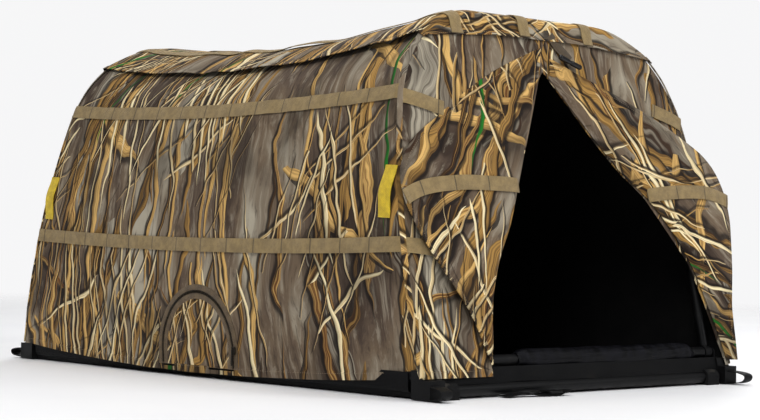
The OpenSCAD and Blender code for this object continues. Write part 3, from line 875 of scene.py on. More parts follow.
def roof():
    """The roof and its skirt as one sheet: columns across the body, rows from front hem to rear hem."""
    edge = float(distance_at(ROOF_HEM_Z))
    hem_rows = np.array([edge - 0.0108, edge - 0.010, edge])
    d = np.concatenate([-hem_rows[::-1], np.linspace(-edge + 0.018, edge - 0.018, 76), hem_rows])
    out = ROOF_OUT - 0.0006 + HEM_EXTRA * (np.abs(d) > edge - 0.0105)
    front, r0 = roof_path(d, "front", out)
    rear, r1 = roof_path(d, "rear", out)
    x, z, nx, nz = profile(d)
    rows = list(front)
    count = 104
    for k in range(count):
        share = k / (count - 1)
        u = 0.65 * share + 0.35 * (0.5 - 0.5 * math.cos(math.pi * share))
        y0, y1 = front_y(z) + r0, rear_y(z) - r1
        y = y0 + u * (y1 - y0)
        s = u * 0.95
        high = smooth(SHOULDER_Z, CROWN_Z, z)
        sag = 0.031 * (4 * u * (1 - u))
        tent = 0.0035 * ripple(s * 5 + 3, d * 5, 51)
        fold = 0.0030 * ripple(s * 13 + 1.2 * ripple(s * 3, d * 6, 53), d * 3.0, 52)
        hoops = 0.0035 * (np.exp(-((u - 0.035) / 0.03)**2) + np.exp(-((u - 0.965) / 0.03)**2))
        edge_loose = np.exp(-(edge - np.abs(d)) / 0.02)
        hem = edge_loose * (0.0034 + 0.0026 * ripple(s * 17, np.sign(d) * 2.0, 54))
        lift = out + (tent + fold) * smooth(0, 0.08, min(u, 1 - u)) + hoops * high + hem
        side_sag = span_sag(np.full_like(z, u), z) * (1 - high)
        rows.append(np.stack([x + nx * lift, y, z + nz * lift - sag * high - side_sag], -1))
    rows.extend(rear[::-1])
    p = np.stack(rows, 1)
    p[..., 0] += MID_X
    flat = grid_cloth(p, (8.0, 2.0))[..., ::-1]
    piece = sheet_piece("roof_cover", p, [CAMO, COATED], "base", cloth=flat)
    soft(piece, "roof_panel")
    return p


LEFT_CREASE = [(-0.021, 0.513), (-0.103, 0.334), (-0.132, 0.273), (-0.174, 0.205),
               (-0.205, 0.124), (-0.216, 0.052)]
RIGHT_CREASE = [(0.000, 0.516), (0.096, 0.412), (0.149, 0.361), (0.203, 0.322), (0.294, 0.209),
                (0.320, 0.144), (0.352, 0.041)]
LEFT_EDGE = [(-0.006, 0.568), (-0.142, 0.511), (-0.259, 0.441), (-0.345, 0.378), (-0.366, 0.342),
             (-0.366, 0.302), (-0.354, 0.270), (-0.262, 0.128), (-0.219, 0.050)]
RIGHT_EDGE = [(0.008, 0.548), (0.200, 0.480), (0.335, 0.421), (0.376, 0.397), (0.406, 0.369),
              (0.429, 0.318), (0.409, 0.231), (0.383, 0.145), (0.376, 0.040)]


def share_near(line, target):
    """Share of a curve's length at its nearest place to a point."""
    t = np.linspace(0, 1, 800)
    return float(t[np.argmin(np.linalg.norm(curve(line, t) - target, axis=-1))])


def crease_x(side, z):
    """Where the doorway's edge is at a height, from the mirror plane."""
    line = LEFT_CREASE if side < 0 else RIGHT_CREASE
    line = sorted((q[1], q[0]) for q in line)
    x = np.interp(z, [q[0] for q in line], [q[1] for q in line])
    top, top_x = line[-1]
    return np.where(z > top, top_x + (APEX_X - top_x) * smooth(top, top + 0.012, z), x)


def end_panel(end, name, node, x, z, print_shift):
    """A panel of an end wall from a grid of x and z, with its hem doubled."""
    doubled = HEM_EXTRA * (z < HEM_CORNER_Z + 0.012)
    p = end_point(end, x, z, doubled)
    flat = np.stack([x + print_shift, z], -1)
    piece = sheet_piece(name, p, [CAMO, COATED], "base", cloth=flat)
    soft(piece, node)


def end_panels():
    """The front wall on each side of the doorway, then the rear wall."""
    hem_rows = [HEM_CORNER_Z, HEM_CORNER_Z + 0.006, HEM_CORNER_Z + 0.0115, HEM_CORNER_Z + 0.0125]
    z = np.concatenate([hem_rows, np.linspace(HEM_CORNER_Z + 0.02, PANEL_TOP_Z, 68)])
    reach = half_width(z) - CORNER_CUT
    share = spread(42)[:, None]
    for side, word, print_shift in ((-1, "left", 1.6), (1, "right", 6.0)):
        x = crease_x(side, z)[None, :] * (1 - share) + side * reach[None, :] * share
        end_panel("front", f"front_{word}_cloth", f"front_{word}_panel", x,
                  np.broadcast_to(z, x.shape), print_shift)
    x = (2 * spread(90) - 1)[:, None] * reach[None, :]
    end_panel("rear", "rear_cover", "rear_panel", x, np.broadcast_to(z, x.shape), 11.0)


# ---------------------------------------------------------------------------
# Door flaps
# ---------------------------------------------------------------------------

FLAPS = {
    "left": dict(side=-1, crease=LEFT_CREASE, edge=LEFT_EDGE, body="left_flap", out=0.0036,
                 lift=0.010, turn=math.radians(38), seed=61, axis=(0.30, 0.20, 0.93),
                 strap=[(-0.104, 0.332), (-0.368, 0.303)]),
    "right": dict(side=1, crease=RIGHT_CREASE, edge=RIGHT_EDGE, body="right_flap", out=0.0085,
                  lift=0.004, turn=math.radians(-47), seed=67, axis=(-0.48, 0.10, 0.87),
                  strap=[(0.203, 0.326), (0.427, 0.318)]),
}


def front_place(x, z, out):
    """A point out from the front wall's plane, past its corners too."""
    y = front_y(z) - out * math.cos(FRONT_LEAN)
    return np.stack([MID_X + x, y, z + out * math.sin(FRONT_LEAN)], -1)


def flap_point(flap, s, t, out=0.0):
    """A flap's outer face: s from 0 at the crease to 1 at the free edge, t from 0 at the top."""
    s, t = np.broadcast_arrays(np.asarray(s, float), np.asarray(t, float))
    a, b = curve(flap["crease"], t), curve(flap["edge"], t)
    q = a + (b - a) * np.clip(s, 0, 1)[..., None]
    wide = np.linalg.norm(b - a, axis=-1)
    from_crease = np.clip(s, 0, 1) * wide
    from_edge = (1 - np.clip(s, 0, 1)) * wide
    roll = 0.0034 * smooth(0, 0.009, from_crease) - 0.0034
    billow = 0.0048 * np.sin(math.pi * np.clip(s, 0, 1)) * smooth(0.02, 0.12, wide)
    low = smooth(0.42, 0.70, t) * np.exp(-from_edge / 0.05)
    lift = flap["lift"] * low * smooth(0.01, 0.05, wide)
    x, z = q[..., 0], q[..., 1]
    wave = 0.0022 * ripple((x - z) * 9, (x + z) * 5, flap["seed"]) * smooth(0, 0.04, from_crease)
    small = 0.0010 * ripple((x + z) * 26, (x - z) * 9, flap["seed"] + 1)
    small = small * smooth(0, 0.03, from_crease)
    hem = HEM_EXTRA * (from_edge < 0.011)
    total = flap["out"] + roll + billow + lift + wave + small + hem + out
    beyond = np.clip(np.abs(x) - half_width(z), 0, None)
    p = front_place(x, z, total)
    p[..., 1] += 2.5 * beyond**2 * (flap["side"] > 0)
    return p


def flap_piece(flap):
    name = "left_door_flap" if flap["side"] < 0 else "right_door_flap"
    s = np.concatenate([[0, 0.012, 0.03, 0.05], np.linspace(0.08, 0.94, 42),
                        [0.955, 0.965, 0.98, 1]])
    t = spread(96)
    p = flap_point(flap, s[:, None], t[None, :])
    flat = p[..., [0, 2]] - [MID_X, 0]
    c, n = math.cos(flap["turn"]), math.sin(flap["turn"])
    flat = flat @ np.array([[c, n], [-n, c]]) + [flap["seed"] * 0.31, 1.0]
    piece = sheet_piece(name + "_cloth", p, [CAMO], flap["body"],
                        thick=0.0019, cloth=flat)
    return piece, name, p


def flap_squash(piece):
    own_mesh(piece)


# ---------------------------------------------------------------------------
# Webbing on the cover
# ---------------------------------------------------------------------------

def run_on(place, *shares, rise=0.0):
    """Points and outward normals along a line on a surface. place(*shares, out) gives its points."""
    points = place(*shares, rise)
    above = place(*shares, rise + 0.001)
    return points, unit(above - points)


def strap_rise(s, pitch=0.074, slack=0.0016):
    """Brush straps stand off between their bar-tacks."""
    return 0.0010 + slack * np.sin(math.pi * s / pitch)**2


def wall_strap(side, z0, z1, name):
    """A brush strap along a side wall, from a height at the front to one at the rear."""
    u = np.linspace(0.0, 1.0, 220)
    z = z0 + (z1 - z0) * u
    rise = strap_rise(u * 2 * HALF_LENGTH)
    run = run_on(lambda a, b, out: wall_point(side, a, b, out), u, distance_at(z), rise=rise)
    piece = band_piece(name + "_web", [run], STRAP_W, STRAP_T, OLIVE, "base",
                       0.25)
    soft(piece, name)


def end_strap_run(end, x0, z0, x1, z1, count):
    t = np.linspace(0, 1, count)
    x, z = x0 + (x1 - x0) * t, z0 + (z1 - z0) * t
    length = math.hypot(x1 - x0, z1 - z0)
    return run_on(lambda a, b, out: end_point(end, a, b, out), x, z,
                  rise=strap_rise(t * length))


# Each roof strap's place across the body, and its slack between one tack and the next
ROOF_TACKS = np.array([0.0, 0.055, 0.30, 0.52, 0.75, 0.945, 1.0])
ROOF_STRAPS = {
    "left": (-0.200, [0.001, 0.001, 0.004, 0.001, 0.001, 0.001]),
    "centre": (-0.045, [0.003, 0.005, 0.004, 0.006, 0.004, 0.002]),
    "right": (0.112, [0.002, 0.004, 0.005, 0.004, 0.003, 0.002]),
}


def roof_strap(x, name, p, slack):
    """Webbing over the roof's grid of points, loose between its tacks."""
    line = p[:, p.shape[1] // 2, 0] - MID_X
    k = int(np.searchsorted(line, x)) - 1
    share = (x - line[k]) / (line[k + 1] - line[k])
    facing = grid_normals(p)
    points = p[k] * (1 - share) + p[k + 1] * share
    normals = facing[k] * (1 - share) + facing[k + 1] * share
    if normals[len(normals) // 2, 2] < 0:
        normals = -normals
    s = along(points)
    at = np.linspace(0.001, s[-1] - 0.001, 260)
    dense = np.stack([np.interp(at, s, points[:, k]) for k in range(3)], -1)
    facing = unit(np.stack([np.interp(at, s, normals[:, k]) for k in range(3)], -1))
    share = at / s[-1]
    k = np.searchsorted(ROOF_TACKS, share, side="right") - 1
    k = np.clip(k, 0, len(ROOF_TACKS) - 2)
    w = (share - ROOF_TACKS[k]) / (ROOF_TACKS[k + 1] - ROOF_TACKS[k])
    rise = 0.0002 + np.array(slack)[k] * np.sin(math.pi * w)**2
    dense = dense + facing * rise[:, None]
    piece = band_piece(name + "_web", [(dense, facing)], STRAP_W, STRAP_T, OLIVE, "base",
                       0.2)
    soft(piece, name)


def pull_tabs():
    """Mustard webbing handles, one beside each corner."""
    low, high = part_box("pull_tabs")
    runs = []
    t = np.linspace(0, 1, 26)
    for side in (-1, 1):
        for near in (True, False):
            y_mid = (front_y(0.315) + 0.0265) if near else (rear_y(0.315) - 0.0265)
            z = high.z + (low.z - high.z) * t
            rise = 0.0014 + 0.0055 * np.sin(math.pi * t)**2
            y = y_mid + 0.004 * (t - 0.5)
            runs.append(run_on(lambda a, b, out, side=side: wall_at(side, a, b, out), y, z,
                               rise=rise))
    piece = band_piece("pull_tab_webbing", runs, 0.027, 0.0018, YELLOW, "base",
                       0.2)
    soft(piece, "pull_tabs")


def corner_welt(side, end, name):
    """Flat-felled seam down one corner of the cover."""
    z = np.linspace(HEM_CORNER_Z + 0.002, ROOF_HEM_Z + 0.006, 90)
    x, zz, nx, nz = profile(side * distance_at(z))
    face = -1 if end == "front" else 1
    plane = front_y(z) if end == "front" else rear_y(z)
    normal = unit(np.stack([nx, np.full_like(z, face), nz], -1))
    points = np.stack([MID_X + x - nx * CORNER_CUT, plane - face * CORNER_CUT, z], -1)
    wobble = 0.0008 * ripple(z * 30, 0.0, 71)
    points = points + normal * (0.0002 + wobble)[:, None]
    piece = band_piece(name, [(points, normal)], 0.009, 0.0022, CAMO, "base", 0.35,
                       cloth_start=20.0, upright=True)
    soft(piece)


# ---------------------------------------------------------------------------
# Hatch and zip
# ---------------------------------------------------------------------------

def hatch_line(r, count):
    """Points (y, z) up, over and down the hatch's outline at a radius."""
    low = HATCH_BOTTOM + 0.0006
    rise = HATCH_Z - low
    total = 2 * rise + math.pi * r
    s = np.linspace(0, total, count)
    angle = math.pi - np.clip((s - rise) / r, 0, math.pi)
    y = HATCH_Y + r * np.cos(angle)
    z = HATCH_Z + r * np.sin(angle)
    z = np.where(s < rise, low + s, np.where(s > total - rise, low + total - s, z))
    return y, z, s


def hatch_flap():
    r = HATCH_R - 0.0016
    share = (2 * spread(44) - 1)
    y = HATCH_Y + r * share
    top = HATCH_Z + np.sqrt(np.maximum(r**2 - (y - HATCH_Y)**2, 0))
    t = np.linspace(0, 1, 34)
    z = (HATCH_BOTTOM + 0.0008) + (top[:, None] - HATCH_BOTTOM - 0.0008) * t[None, :]
    yy = np.broadcast_to(y[:, None], z.shape)
    p = wall_at(-1, yy, z, 0.0006)
    flat = np.stack([yy + 0.4, z + 0.21], -1)
    piece = sheet_piece("hatch_door_cloth", p, [CAMO, COATED], "hatch_door",
                        cloth=flat)
    soft(piece, "hatch_flap")


def zip_band(name, r0, r1, body, *nodes):
    lines = [hatch_line(r, 110) for r in (r0, (r0 + r1) / 2, r1)]
    p = np.stack([wall_at(-1, y, z, 0.0011) for y, z, _ in lines], 1)
    s = lines[1][2]
    across = np.array([-1.0, 0.0, 1.0]) * (r1 - r0) / 2
    flat = np.stack(np.broadcast_arrays(s[:, None], across), -1)
    piece = sheet_piece(name, p, [ZIP_TAPE], body, thick=0.0008, cloth=flat)
    soft(piece, *nodes)


def coil(name, r, lean, body):
    """One half of the zip's coil: small rounded loops along the arch."""
    y, z, s = hatch_line(r, 400)
    pitch = 0.0022
    parts = []
    for at in np.arange(0.003 + (pitch / 2 if lean > 0 else 0), s[-1] - 0.003, pitch):
        yc, zc = np.interp(at, s, y), np.interp(at, s, z)
        out = np.array([yc - HATCH_Y, max(zc - HATCH_Z, 0.0)])
        if zc < HATCH_Z:
            out = np.array([math.copysign(1.0, yc - HATCH_Y), 0.0])
        out /= np.linalg.norm(out)
        line = np.array([[yc, zc] + out * lean * k for k in (-0.0006, 0.0002, 0.0012, 0.0022)])
        p = wall_at(-1, line[:, 0], line[:, 1], np.array([0.0012, 0.0024, 0.0026, 0.0016]))
        parts.append(tube_mesh(p, [0.0004, 0.0006, 0.0006, 0.0004], 5))
    piece = solid_piece(name, parts, COIL, body)
    soft(piece)


def lathe(points, sides=32):
    """Vertices and faces of a closed turned shape. Points are (height, radius) along X."""
    verts = []
    for h, r in points:
        for k in range(sides):
            a = 2 * math.pi * k / sides
            verts.append((h, r * math.cos(a), r * math.sin(a)))
    return np.array(verts), [face[::-1] for face in ring_faces(len(points), sides)]


def slider():
    """Zip slider with its nose, bridge and hanging puller."""
    low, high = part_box("hatch_slider")
    mid = (low + high) / 2
    half = (high - low) / 2
    levels = ((-1.0, 0.72), (-0.8, 0.95), (0.2, 1.0), (0.8, 0.85), (1.0, 0.6))
    across = ((-1.0, 0.82), (-0.6, 1.0), (0.6, 1.0), (1.0, 0.82))
    verts = []
    for height, wide in levels:
        for sign in (-1, 1):
            for x, narrow in across[::-sign]:
                verts.append((mid.x + x * half.x, mid.y + sign * wide * narrow * half.y,
                              mid.z + height * half.z))
    body = np.array(verts), ring_faces(len(levels), 2 * len(across))
    arc = np.linspace(0, math.pi, 9)
    bridge = np.stack([low.x - 0.0016 * np.sin(arc), np.full(9, mid.y),
                       mid.z + 0.0042 * np.cos(arc)], -1)
    piece = solid_piece("zip_slider_body", [body, tube_mesh(bridge, 0.0008, 8)], COIL,
                        "zip_slider")
    soft(piece, "hatch_slider")
    low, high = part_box("hatch_puller")
    x, y = low.x + 0.0011, (low.y + high.y) / 2
    z = np.linspace(high.z, low.z, 12)
    w = np.interp(np.linspace(0, 1, 12), [0, 0.1, 0.3, 0.75, 0.95, 1],
                  [0.4, 0.8, 0.55, 1.0, 0.9, 0.5])
    points = np.stack([np.full(12, x), np.full(12, y), z], -1)
    normals = np.tile([-1.0, 0, 0], (12, 1))
    pull = band_piece("zip_puller", [(points, normals)], 0.005 * w, 0.0014, COIL, "zip_slider",
                      0.1)
    soft(pull, "hatch_puller")


# ---------------------------------------------------------------------------
# Pad, floor and ground pieces
# ---------------------------------------------------------------------------

def sill_pad():
    low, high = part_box("sill_pad")
    mid_y, mid_z = (low.y + high.y) / 2, (low.z + high.z) / 2
    radius = (high.z - low.z) / 2
    n, k = 150, 44
    x = np.linspace(low.x + 0.001, high.x - 0.001, n)
    a = np.linspace(0, 2 * math.pi, k, endpoint=False)
    xx, aa = np.meshgrid(x, a, indexing="ij")
    end = np.minimum(xx - low.x, high.x - xx)
    cinch = smooth(0.0, 0.022, end)
    wrap = np.cos(aa) * 1.5
    wave = np.sin(aa) * 1.5
    pucker = 0.0022 * ripple(xx * 55 + wrap, wave + wrap, 81) * np.exp(-end / 0.03)
    long_fold = 0.0013 * ripple(xx * 11, wrap * 2.1 + 5, 82) + 0.0009 * ripple(xx * 34, wave * 2, 83)
    slack = 0.0011 * ripple(xx * 20 + 3 * wave, wrap * 3, 84)
    r = 0.0108 + (radius - 0.0014 - 0.0108) * cinch + (long_fold + slack) * cinch + pucker
    sag = 1.0 - 0.06 * (np.sin(aa) > 0) * cinch
    p = np.stack([xx, mid_y + r * np.cos(aa), mid_z - r * sag * np.sin(aa)], -1)
    faces = ring_faces(n, k)
    flat = np.stack([xx, aa * radius], -1).reshape(-1, 2)
    piece = finish_mesh("sill_pad_sleeve", p.reshape(-1, 3), faces, [PAD], [0] * len(faces),
                        "base", flat, 60)
    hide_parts("sill_pad")
    seam_x = np.linspace(low.x + 0.02, high.x - 0.02, 120)
    angle = -0.5
    points = np.stack([seam_x, np.full(120, mid_y + radius * math.cos(angle) - 0.0002),
                       np.full(120, mid_z - radius * math.sin(angle) - 0.0002)], -1)
    normals = np.tile([0.0, math.cos(angle), -math.sin(angle)], (120, 1))
    solid_piece("sill_pad_seam", [dashes(points, normals, 0.005, 0.0034, 0.0005)], DARK_THREAD,
                "base")


def floor_tray():
    """Black cloth floor with a wall up the outside of each rail."""
    low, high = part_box("floor_pan")
    inset = 0.0008
    x0, x1 = low.x + inset, high.x - inset
    floor_z = low.z + 0.0015
    up = np.linspace(high.z, floor_z + 0.006, 8)
    across = np.linspace(x0 + 0.006, x1 - 0.006, 60)
    turn = 0.0018
    path = [(x0, z) for z in up]
    path.append((x0 + turn, floor_z + turn))
    path.extend((x, floor_z) for x in across)
    path.append((x1 - turn, floor_z + turn))
    path.extend((x1, z) for z in up[::-1])
    path = np.array(path)
    y = np.linspace(low.y + 0.002, high.y - 0.002, 110)
    px, yy = np.meshgrid(path[:, 0], y, indexing="ij")
    pz = np.broadcast_to(path[:, 1][:, None], px.shape)
    level = (pz < floor_z + 0.0005)
    wrinkle = 0.0035 * ripple(px * 9, yy * 7, 91) + 0.0018 * ripple(px * 25, yy * 19, 92)
    z = pz + np.where(level, np.maximum(wrinkle, -0.001), 0)
    side_wave = 0.0012 * ripple(yy * 18, pz * 20, 93) * ~level
    p = np.stack([px + side_wave, yy, z], -1)
    piece = sheet_piece("floor_cloth", p, [FLOOR_CLOTH], "base", thick=0.0014)
    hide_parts("floor_pan")


def ground_skirt():
    """Black cloth edge that shows below the camouflage hem, on all four sides."""
    for side, name in ((-1, "left_ground_skirt"), (1, "right_ground_skirt")):
        u = np.linspace(0.004, 0.996, 150)
        t = np.linspace(0, 1, 7)
        uu, tt = np.meshgrid(u, t, indexing="ij")
        hem = HEM_CORNER_Z - span_sag(uu, np.full_like(uu, HEM_CORNER_Z))
        z_top, z_low = hem + 0.012, np.maximum(0.0022, hem * 0.10)
        z = z_top + (z_low - z_top) * tt
        y = front_y(HEM_CORNER_Z) + 0.010 + uu * (2 * HALF_LENGTH - 0.020)
        tuck = 0.0065 + 0.010 * tt + 0.0015 * ripple(uu * 20, tt * 1.5, 95)
        x = MID_X + side * (WALL - 0.0045 - tuck)
        p = np.stack([x, y, z], -1)
        piece = sheet_piece(name, p, [FLOOR_CLOTH], "base", thick=0.0012)
    for end, name in (("front", "front_ground_skirt"), ("rear", "rear_ground_skirt")):
        face = -1 if end == "front" else 1
        x = np.linspace(-WALL + 0.012, WALL - 0.012, 120)
        t = np.linspace(0, 1, 7)
        xx, tt = np.meshgrid(x, t, indexing="ij")
        low = 0.0215 + 0.0030 * ripple(xx * 13, 0.3, 96)
        z = HEM_CORNER_Z + 0.014 - (HEM_CORNER_Z + 0.014 - low) * tt
        depth = 0.0055 - 0.0016 * tt + 0.0014 * ripple(xx * 22, tt * 1.4, 97)
        edge = HALF_LENGTH - depth - 0.010 * (1 - tt) * 0.3
        p = np.stack([MID_X + xx, face * edge, z], -1)
        piece = sheet_piece(name, p, [FLOOR_CLOTH], "base", thick=0.0012)


def stake_loops():
    """Black webbing loops at the corners, curled up from the ground."""
    low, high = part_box("stake_loops")
    runs = []
    t = np.linspace(0, 1, 40)
    for side in (-1, 1):
        for end in (-1, 1):
            x = (low.x if side < 0 else high.x) - side * 0.017
            y_end = low.y if end < 0 else high.y
            reach = 0.040 + 0.004 * side * end
            swing = 0.010 * side * np.sin(math.pi * t)
            angle = math.pi * (t * 1.15 - 0.075)
            y = y_end - end * reach + end * reach * np.sin(np.clip(angle, 0, math.pi))
            z = 0.0105 - 0.0075 * np.cos(np.clip(angle, 0, math.pi)) + 0.004 * smooth(0.3, 0.6, t)
            points = np.stack([x + swing, y, z], -1)
            tangent = np.gradient(points, axis=0)
            across = np.tile([1.0, 0.0, 0.0], (len(t), 1))
            runs.append((points, unit(np.cross(across, tangent))))
    piece = band_piece("stake_loop_webbing", runs, 0.022, 0.0018, BLACK_WEB, "base",
                       0.15)
    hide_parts("stake_loops")


def tie_strap():
    """Loose end of black webbing on the ground, with a ladder-lock buckle."""
    low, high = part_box("tie_strap")
    t = np.linspace(0, 1, 60)
    start = Vector((low.x + 0.001, high.y - 0.0115, 0))
    end = Vector((high.x - 0.003, low.y + 0.0115, 0))
    x = start.x + (end.x - start.x) * t
    y = start.y + (end.y - start.y) * t + 0.003 * np.sin(5.5 * t)
    z = 0.0015 + 0.004 * np.sin(math.pi * np.clip(t / 0.55, 0, 1))**2 \
        + 0.006 * smooth(0.80, 1.0, t)
    points = np.stack([x, y, z], -1)
    tangent = np.gradient(points, axis=0)
    across = np.cross(tangent, [0, 0, 1.0])
    normals = unit(np.cross(across, tangent))
    piece = band_piece("tie_strap_webbing", [(points, normals)], 0.021, 0.0018, BLACK_WEB, "base",
                       0.15)
    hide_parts("tie_strap")
    low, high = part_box("tie_buckle")
    mid = (low + high) / 2
    angle = math.atan2(end.y - start.y, end.x - start.x)
    c, n = math.cos(angle), math.sin(angle)
    half_l, half_w, r = 0.012, 0.0145, 0.0021
    corner = np.linspace(0, math.pi / 2, 5)
    ring = []
    for sx, sy, a0 in ((1, 1, 0), (-1, 1, math.pi / 2), (-1, -1, math.pi), (1, -1, 1.5 * math.pi)):
        for a in corner:
            ring.append((sx * (half_l - 0.005) + 0.005 * math.cos(a + a0),
                         sy * (half_w - 0.005) + 0.005 * math.sin(a + a0)))
    ring.append(ring[0])
    bars = [np.array(ring)] + [np.array([(u, -half_w), (u, half_w)]) for u in (-0.004, 0.004)]
    parts = []
    for bar in bars:
        dense = np.array([[mid.x + u * c - v * n, mid.y + u * n + v * c, mid.z + 0.0008]
                          for u, v in bar])
        parts.append(tube_mesh(dense, r if len(bar) > 2 else 0.0017, 10))
    buckle = solid_piece("tie_buckle_frame", parts, PLASTIC, "base")
    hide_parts("tie_buckle")


def door_toggle():
    """Black bar toggle with a waist for its loop, and the loop itself."""
    low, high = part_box("door_toggle")
    mid = (low + high) / 2
    half = 0.0285
    steps = []
    for a in np.linspace(0, math.pi / 2, 8):
        steps.append((-half + 0.0045 * (1 - math.cos(a)), 0.0045 * math.sin(a) + 0.00005))
    body = np.linspace(-half + 0.006, half - 0.006, 26)
    for h in body:
        waist = 0.0012 * math.exp(-(h / 0.004)**2)
        steps.append((h, 0.0045 - waist))
    for a in np.linspace(math.pi / 2, 0, 8):
        steps.append((half - 0.0045 * (1 - math.cos(a)), 0.0045 * math.sin(a) + 0.00005))
    verts, faces = lathe(steps)
    tilt = math.radians(-16)
    c, n = math.cos(tilt), math.sin(tilt)
    x, y, z = verts.T
    verts = np.stack([mid.x + c * x - n * z, mid.y + y - 0.003, mid.z + n * x + c * z], -1)
    piece = solid_piece("toggle_bar", [(verts, faces)], GLOSS, "base")
    soft(piece, "door_toggle")
    low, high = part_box("toggle_loop")
    t = np.linspace(0, 1, 40)
    x = (low.x + 0.011) + (mid.x - low.x - 0.011) * t
    z = high.z + (mid.z + 0.001 - high.z) * t
    points = front_place(x - MID_X, z, 0.0035 + 0.006 * smooth(0.3, 1.0, t))
    normals = np.tile([0, -math.cos(FRONT_LEAN), math.sin(FRONT_LEAN)], (len(t), 1))
    strap = band_piece("toggle_strap", [(points, normals)], 0.019, 0.0015, LOOP_WEB, "base",
                       0.2)
    soft(strap, "toggle_loop")


# ---------------------------------------------------------------------------
# Stitching
# ---------------------------------------------------------------------------

STITCH_PITCH = 0.0046


def stitch(name, lines, body="base"):
    """Rows of tan stitches, one for each line of points and normals."""
    parts = [dashes(points, normals, STITCH_PITCH) for points, normals in lines]
    return solid_piece(name, parts, TAN_THREAD, body)


def hem_stitches():
    lines = []
    u = np.linspace(0.01, 0.99, 200)
    for side in (-1, 1):
        d = np.full_like(u, float(distance_at(HEM_CORNER_Z)) - 0.0095)
        lines.append(run_on(lambda a, b, out, side=side: wall_point(side, a, b, out), u, d,
                            rise=0.0010))
    x = np.linspace(-0.35, 0.35, 160)
    z = np.full_like(x, HEM_CORNER_Z + 0.0095)
    lines.append(run_on(lambda a, b, out: end_point("rear", a, b, out), x, z, rise=0.0010))
    x = np.linspace(-0.35, -0.235, 40)
    z = np.full_like(x, HEM_CORNER_Z + 0.0095)
    lines.append(run_on(lambda a, b, out: end_point("front", a, b, out), x, z, rise=0.0010))
    soft(stitch("hem_stitching", lines))


def roof_stitches(p):
    normals = -grid_normals(p)
    if normals[len(p) // 2, p.shape[1] // 2, 2] < 0:
        normals = -normals
    lines = []
    for column in (1, len(p) - 2):
        rows = slice(8, p.shape[1] - 8)
        lines.append((p[column, rows] + normals[column, rows] * 0.0004, normals[column, rows]))
    for row in (1, p.shape[1] - 2):
        columns = slice(6, len(p) - 6)
        lines.append((p[columns, row] + normals[columns, row] * 0.0004, normals[columns, row]))
    soft(stitch("roof_hem_stitching", lines))


# ---------------------------------------------------------------------------
# Assembly
# ---------------------------------------------------------------------------

def build_cover():
    side_wall(-1, "left_wall_cloth", "left_side_panel", [CAMO, COATED], in_hatch)
    side_wall(1, "right_wall_cloth", "right_side_panel", [CAMO, COATED])
    roof_grid = roof()
    end_panels()
    for side, end in ((-1, "front"), (1, "front"), (-1, "rear"), (1, "rear")):
        corner_welt(side, end, f"{end}_{'left' if side < 0 else 'right'}_corner_seam")
    return roof_grid


def build_straps(roof_grid):
    for level, z0, z1 in (("upper", 0.473, 0.483), ("lower", 0.235, 0.245)):
        for side, word in ((-1, "left"), (1, "right")):
            wall_strap(side, z0, z1, f"{word}_{level}_strap")
    reach = float(half_width(0.464)) - CORNER_CUT
    low_reach = float(half_width(0.231)) - CORNER_CUT
    left = [end_strap_run("front", -reach, 0.466, -0.252, 0.449, 30),
            end_strap_run("front", -low_reach, 0.234, -0.285, 0.226, 30)]
    right = [end_strap_run("front", reach, 0.456, 0.258, 0.478, 30),
             end_strap_run("front", low_reach, 0.231, 0.305, 0.231, 20)]
    rear = [end_strap_run("rear", -reach, 0.466, reach, 0.466, 160),
            end_strap_run("rear", -low_reach, 0.233, low_reach, 0.233, 160)]
    for runs, name in ((left, "front_left_strap"), (right, "front_right_strap"),
                       (rear, "rear_strap")):
        piece = band_piece(name + "_web", runs, STRAP_W, STRAP_T, OLIVE, "base",
                           0.2)
        soft(piece, name + "s")
    for word, (x, slack) in ROOF_STRAPS.items():
        roof_strap(x, f"roof_{word}_strap", roof_grid, slack)
    pull_tabs()


def build_door():
    for key, flap in FLAPS.items():
        piece, name, p = flap_piece(flap)
        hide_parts(name)
        flap_squash(piece)
        s = np.linspace(0.015, 0.995, 90)
        start = share_near(flap["crease"], flap["strap"][0])
        t = start + (share_near(flap["edge"], flap["strap"][1]) - start) * s
        wide = np.linalg.norm(curve(flap["edge"], t) - curve(flap["crease"], t), axis=-1)
        run = run_on(lambda a, b, out, flap=flap: flap_point(flap, a, b, out), s, t,
                     rise=strap_rise(s * wide))
        strap = band_piece(f"{key}_flap_strap_web", [run], STRAP_W, STRAP_T, OLIVE, flap["body"],
                           0.2)
        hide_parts(f"{key}_flap_strap")
        flap_squash(strap)
        t = np.linspace(0.06, 0.97, 150)
        wide = np.linalg.norm(curve(flap["edge"], t) - curve(flap["crease"], t), axis=-1)
        edge = np.clip(1 - 0.009 / np.maximum(wide, 0.012), 0.2, 1)
        line_run = run_on(lambda a, b, out, flap=flap: flap_point(flap, a, b, out), edge, t,
                          rise=0.0003)
        flap_squash(stitch(f"{key}_flap_stitching", [line_run], flap["body"]))
    door_toggle()


def build_hatch():
    hatch_flap()
    zip_band("zip_outer_tape", HATCH_R + 0.0008, HATCH_R + 0.0125, "base", "hatch_zip_tape")
    zip_band("zip_inner_tape", HATCH_R - 0.0125, HATCH_R - 0.0008, "hatch_door")
    coil("zip_outer_coil", HATCH_R + 0.0004, 1, "base")
    coil("zip_inner_coil", HATCH_R - 0.0004, -1, "hatch_door")
    slider()


def paint_frame():
    """Gives each CAD node that stays its own finish."""
    finishes = {
        TUBE_PAINT: ["left_rail", "right_rail", "front_skid", "rear_skid", "front_sill_tube",
                     "rear_sill_tube", "front_hoop", "rear_hoop"],
        PLASTIC: ["corner_connectors", "sill_plugs", "front_hoop_eyes", "rear_hoop_eyes"],
        RUBBER: ["rubber_feet"],
        STEEL: ["pivot_bolts", "pivot_washers"],
    }
    for finish, names in finishes.items():
        for name in names:
            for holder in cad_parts[name].material_slots:
                holder.material = finish


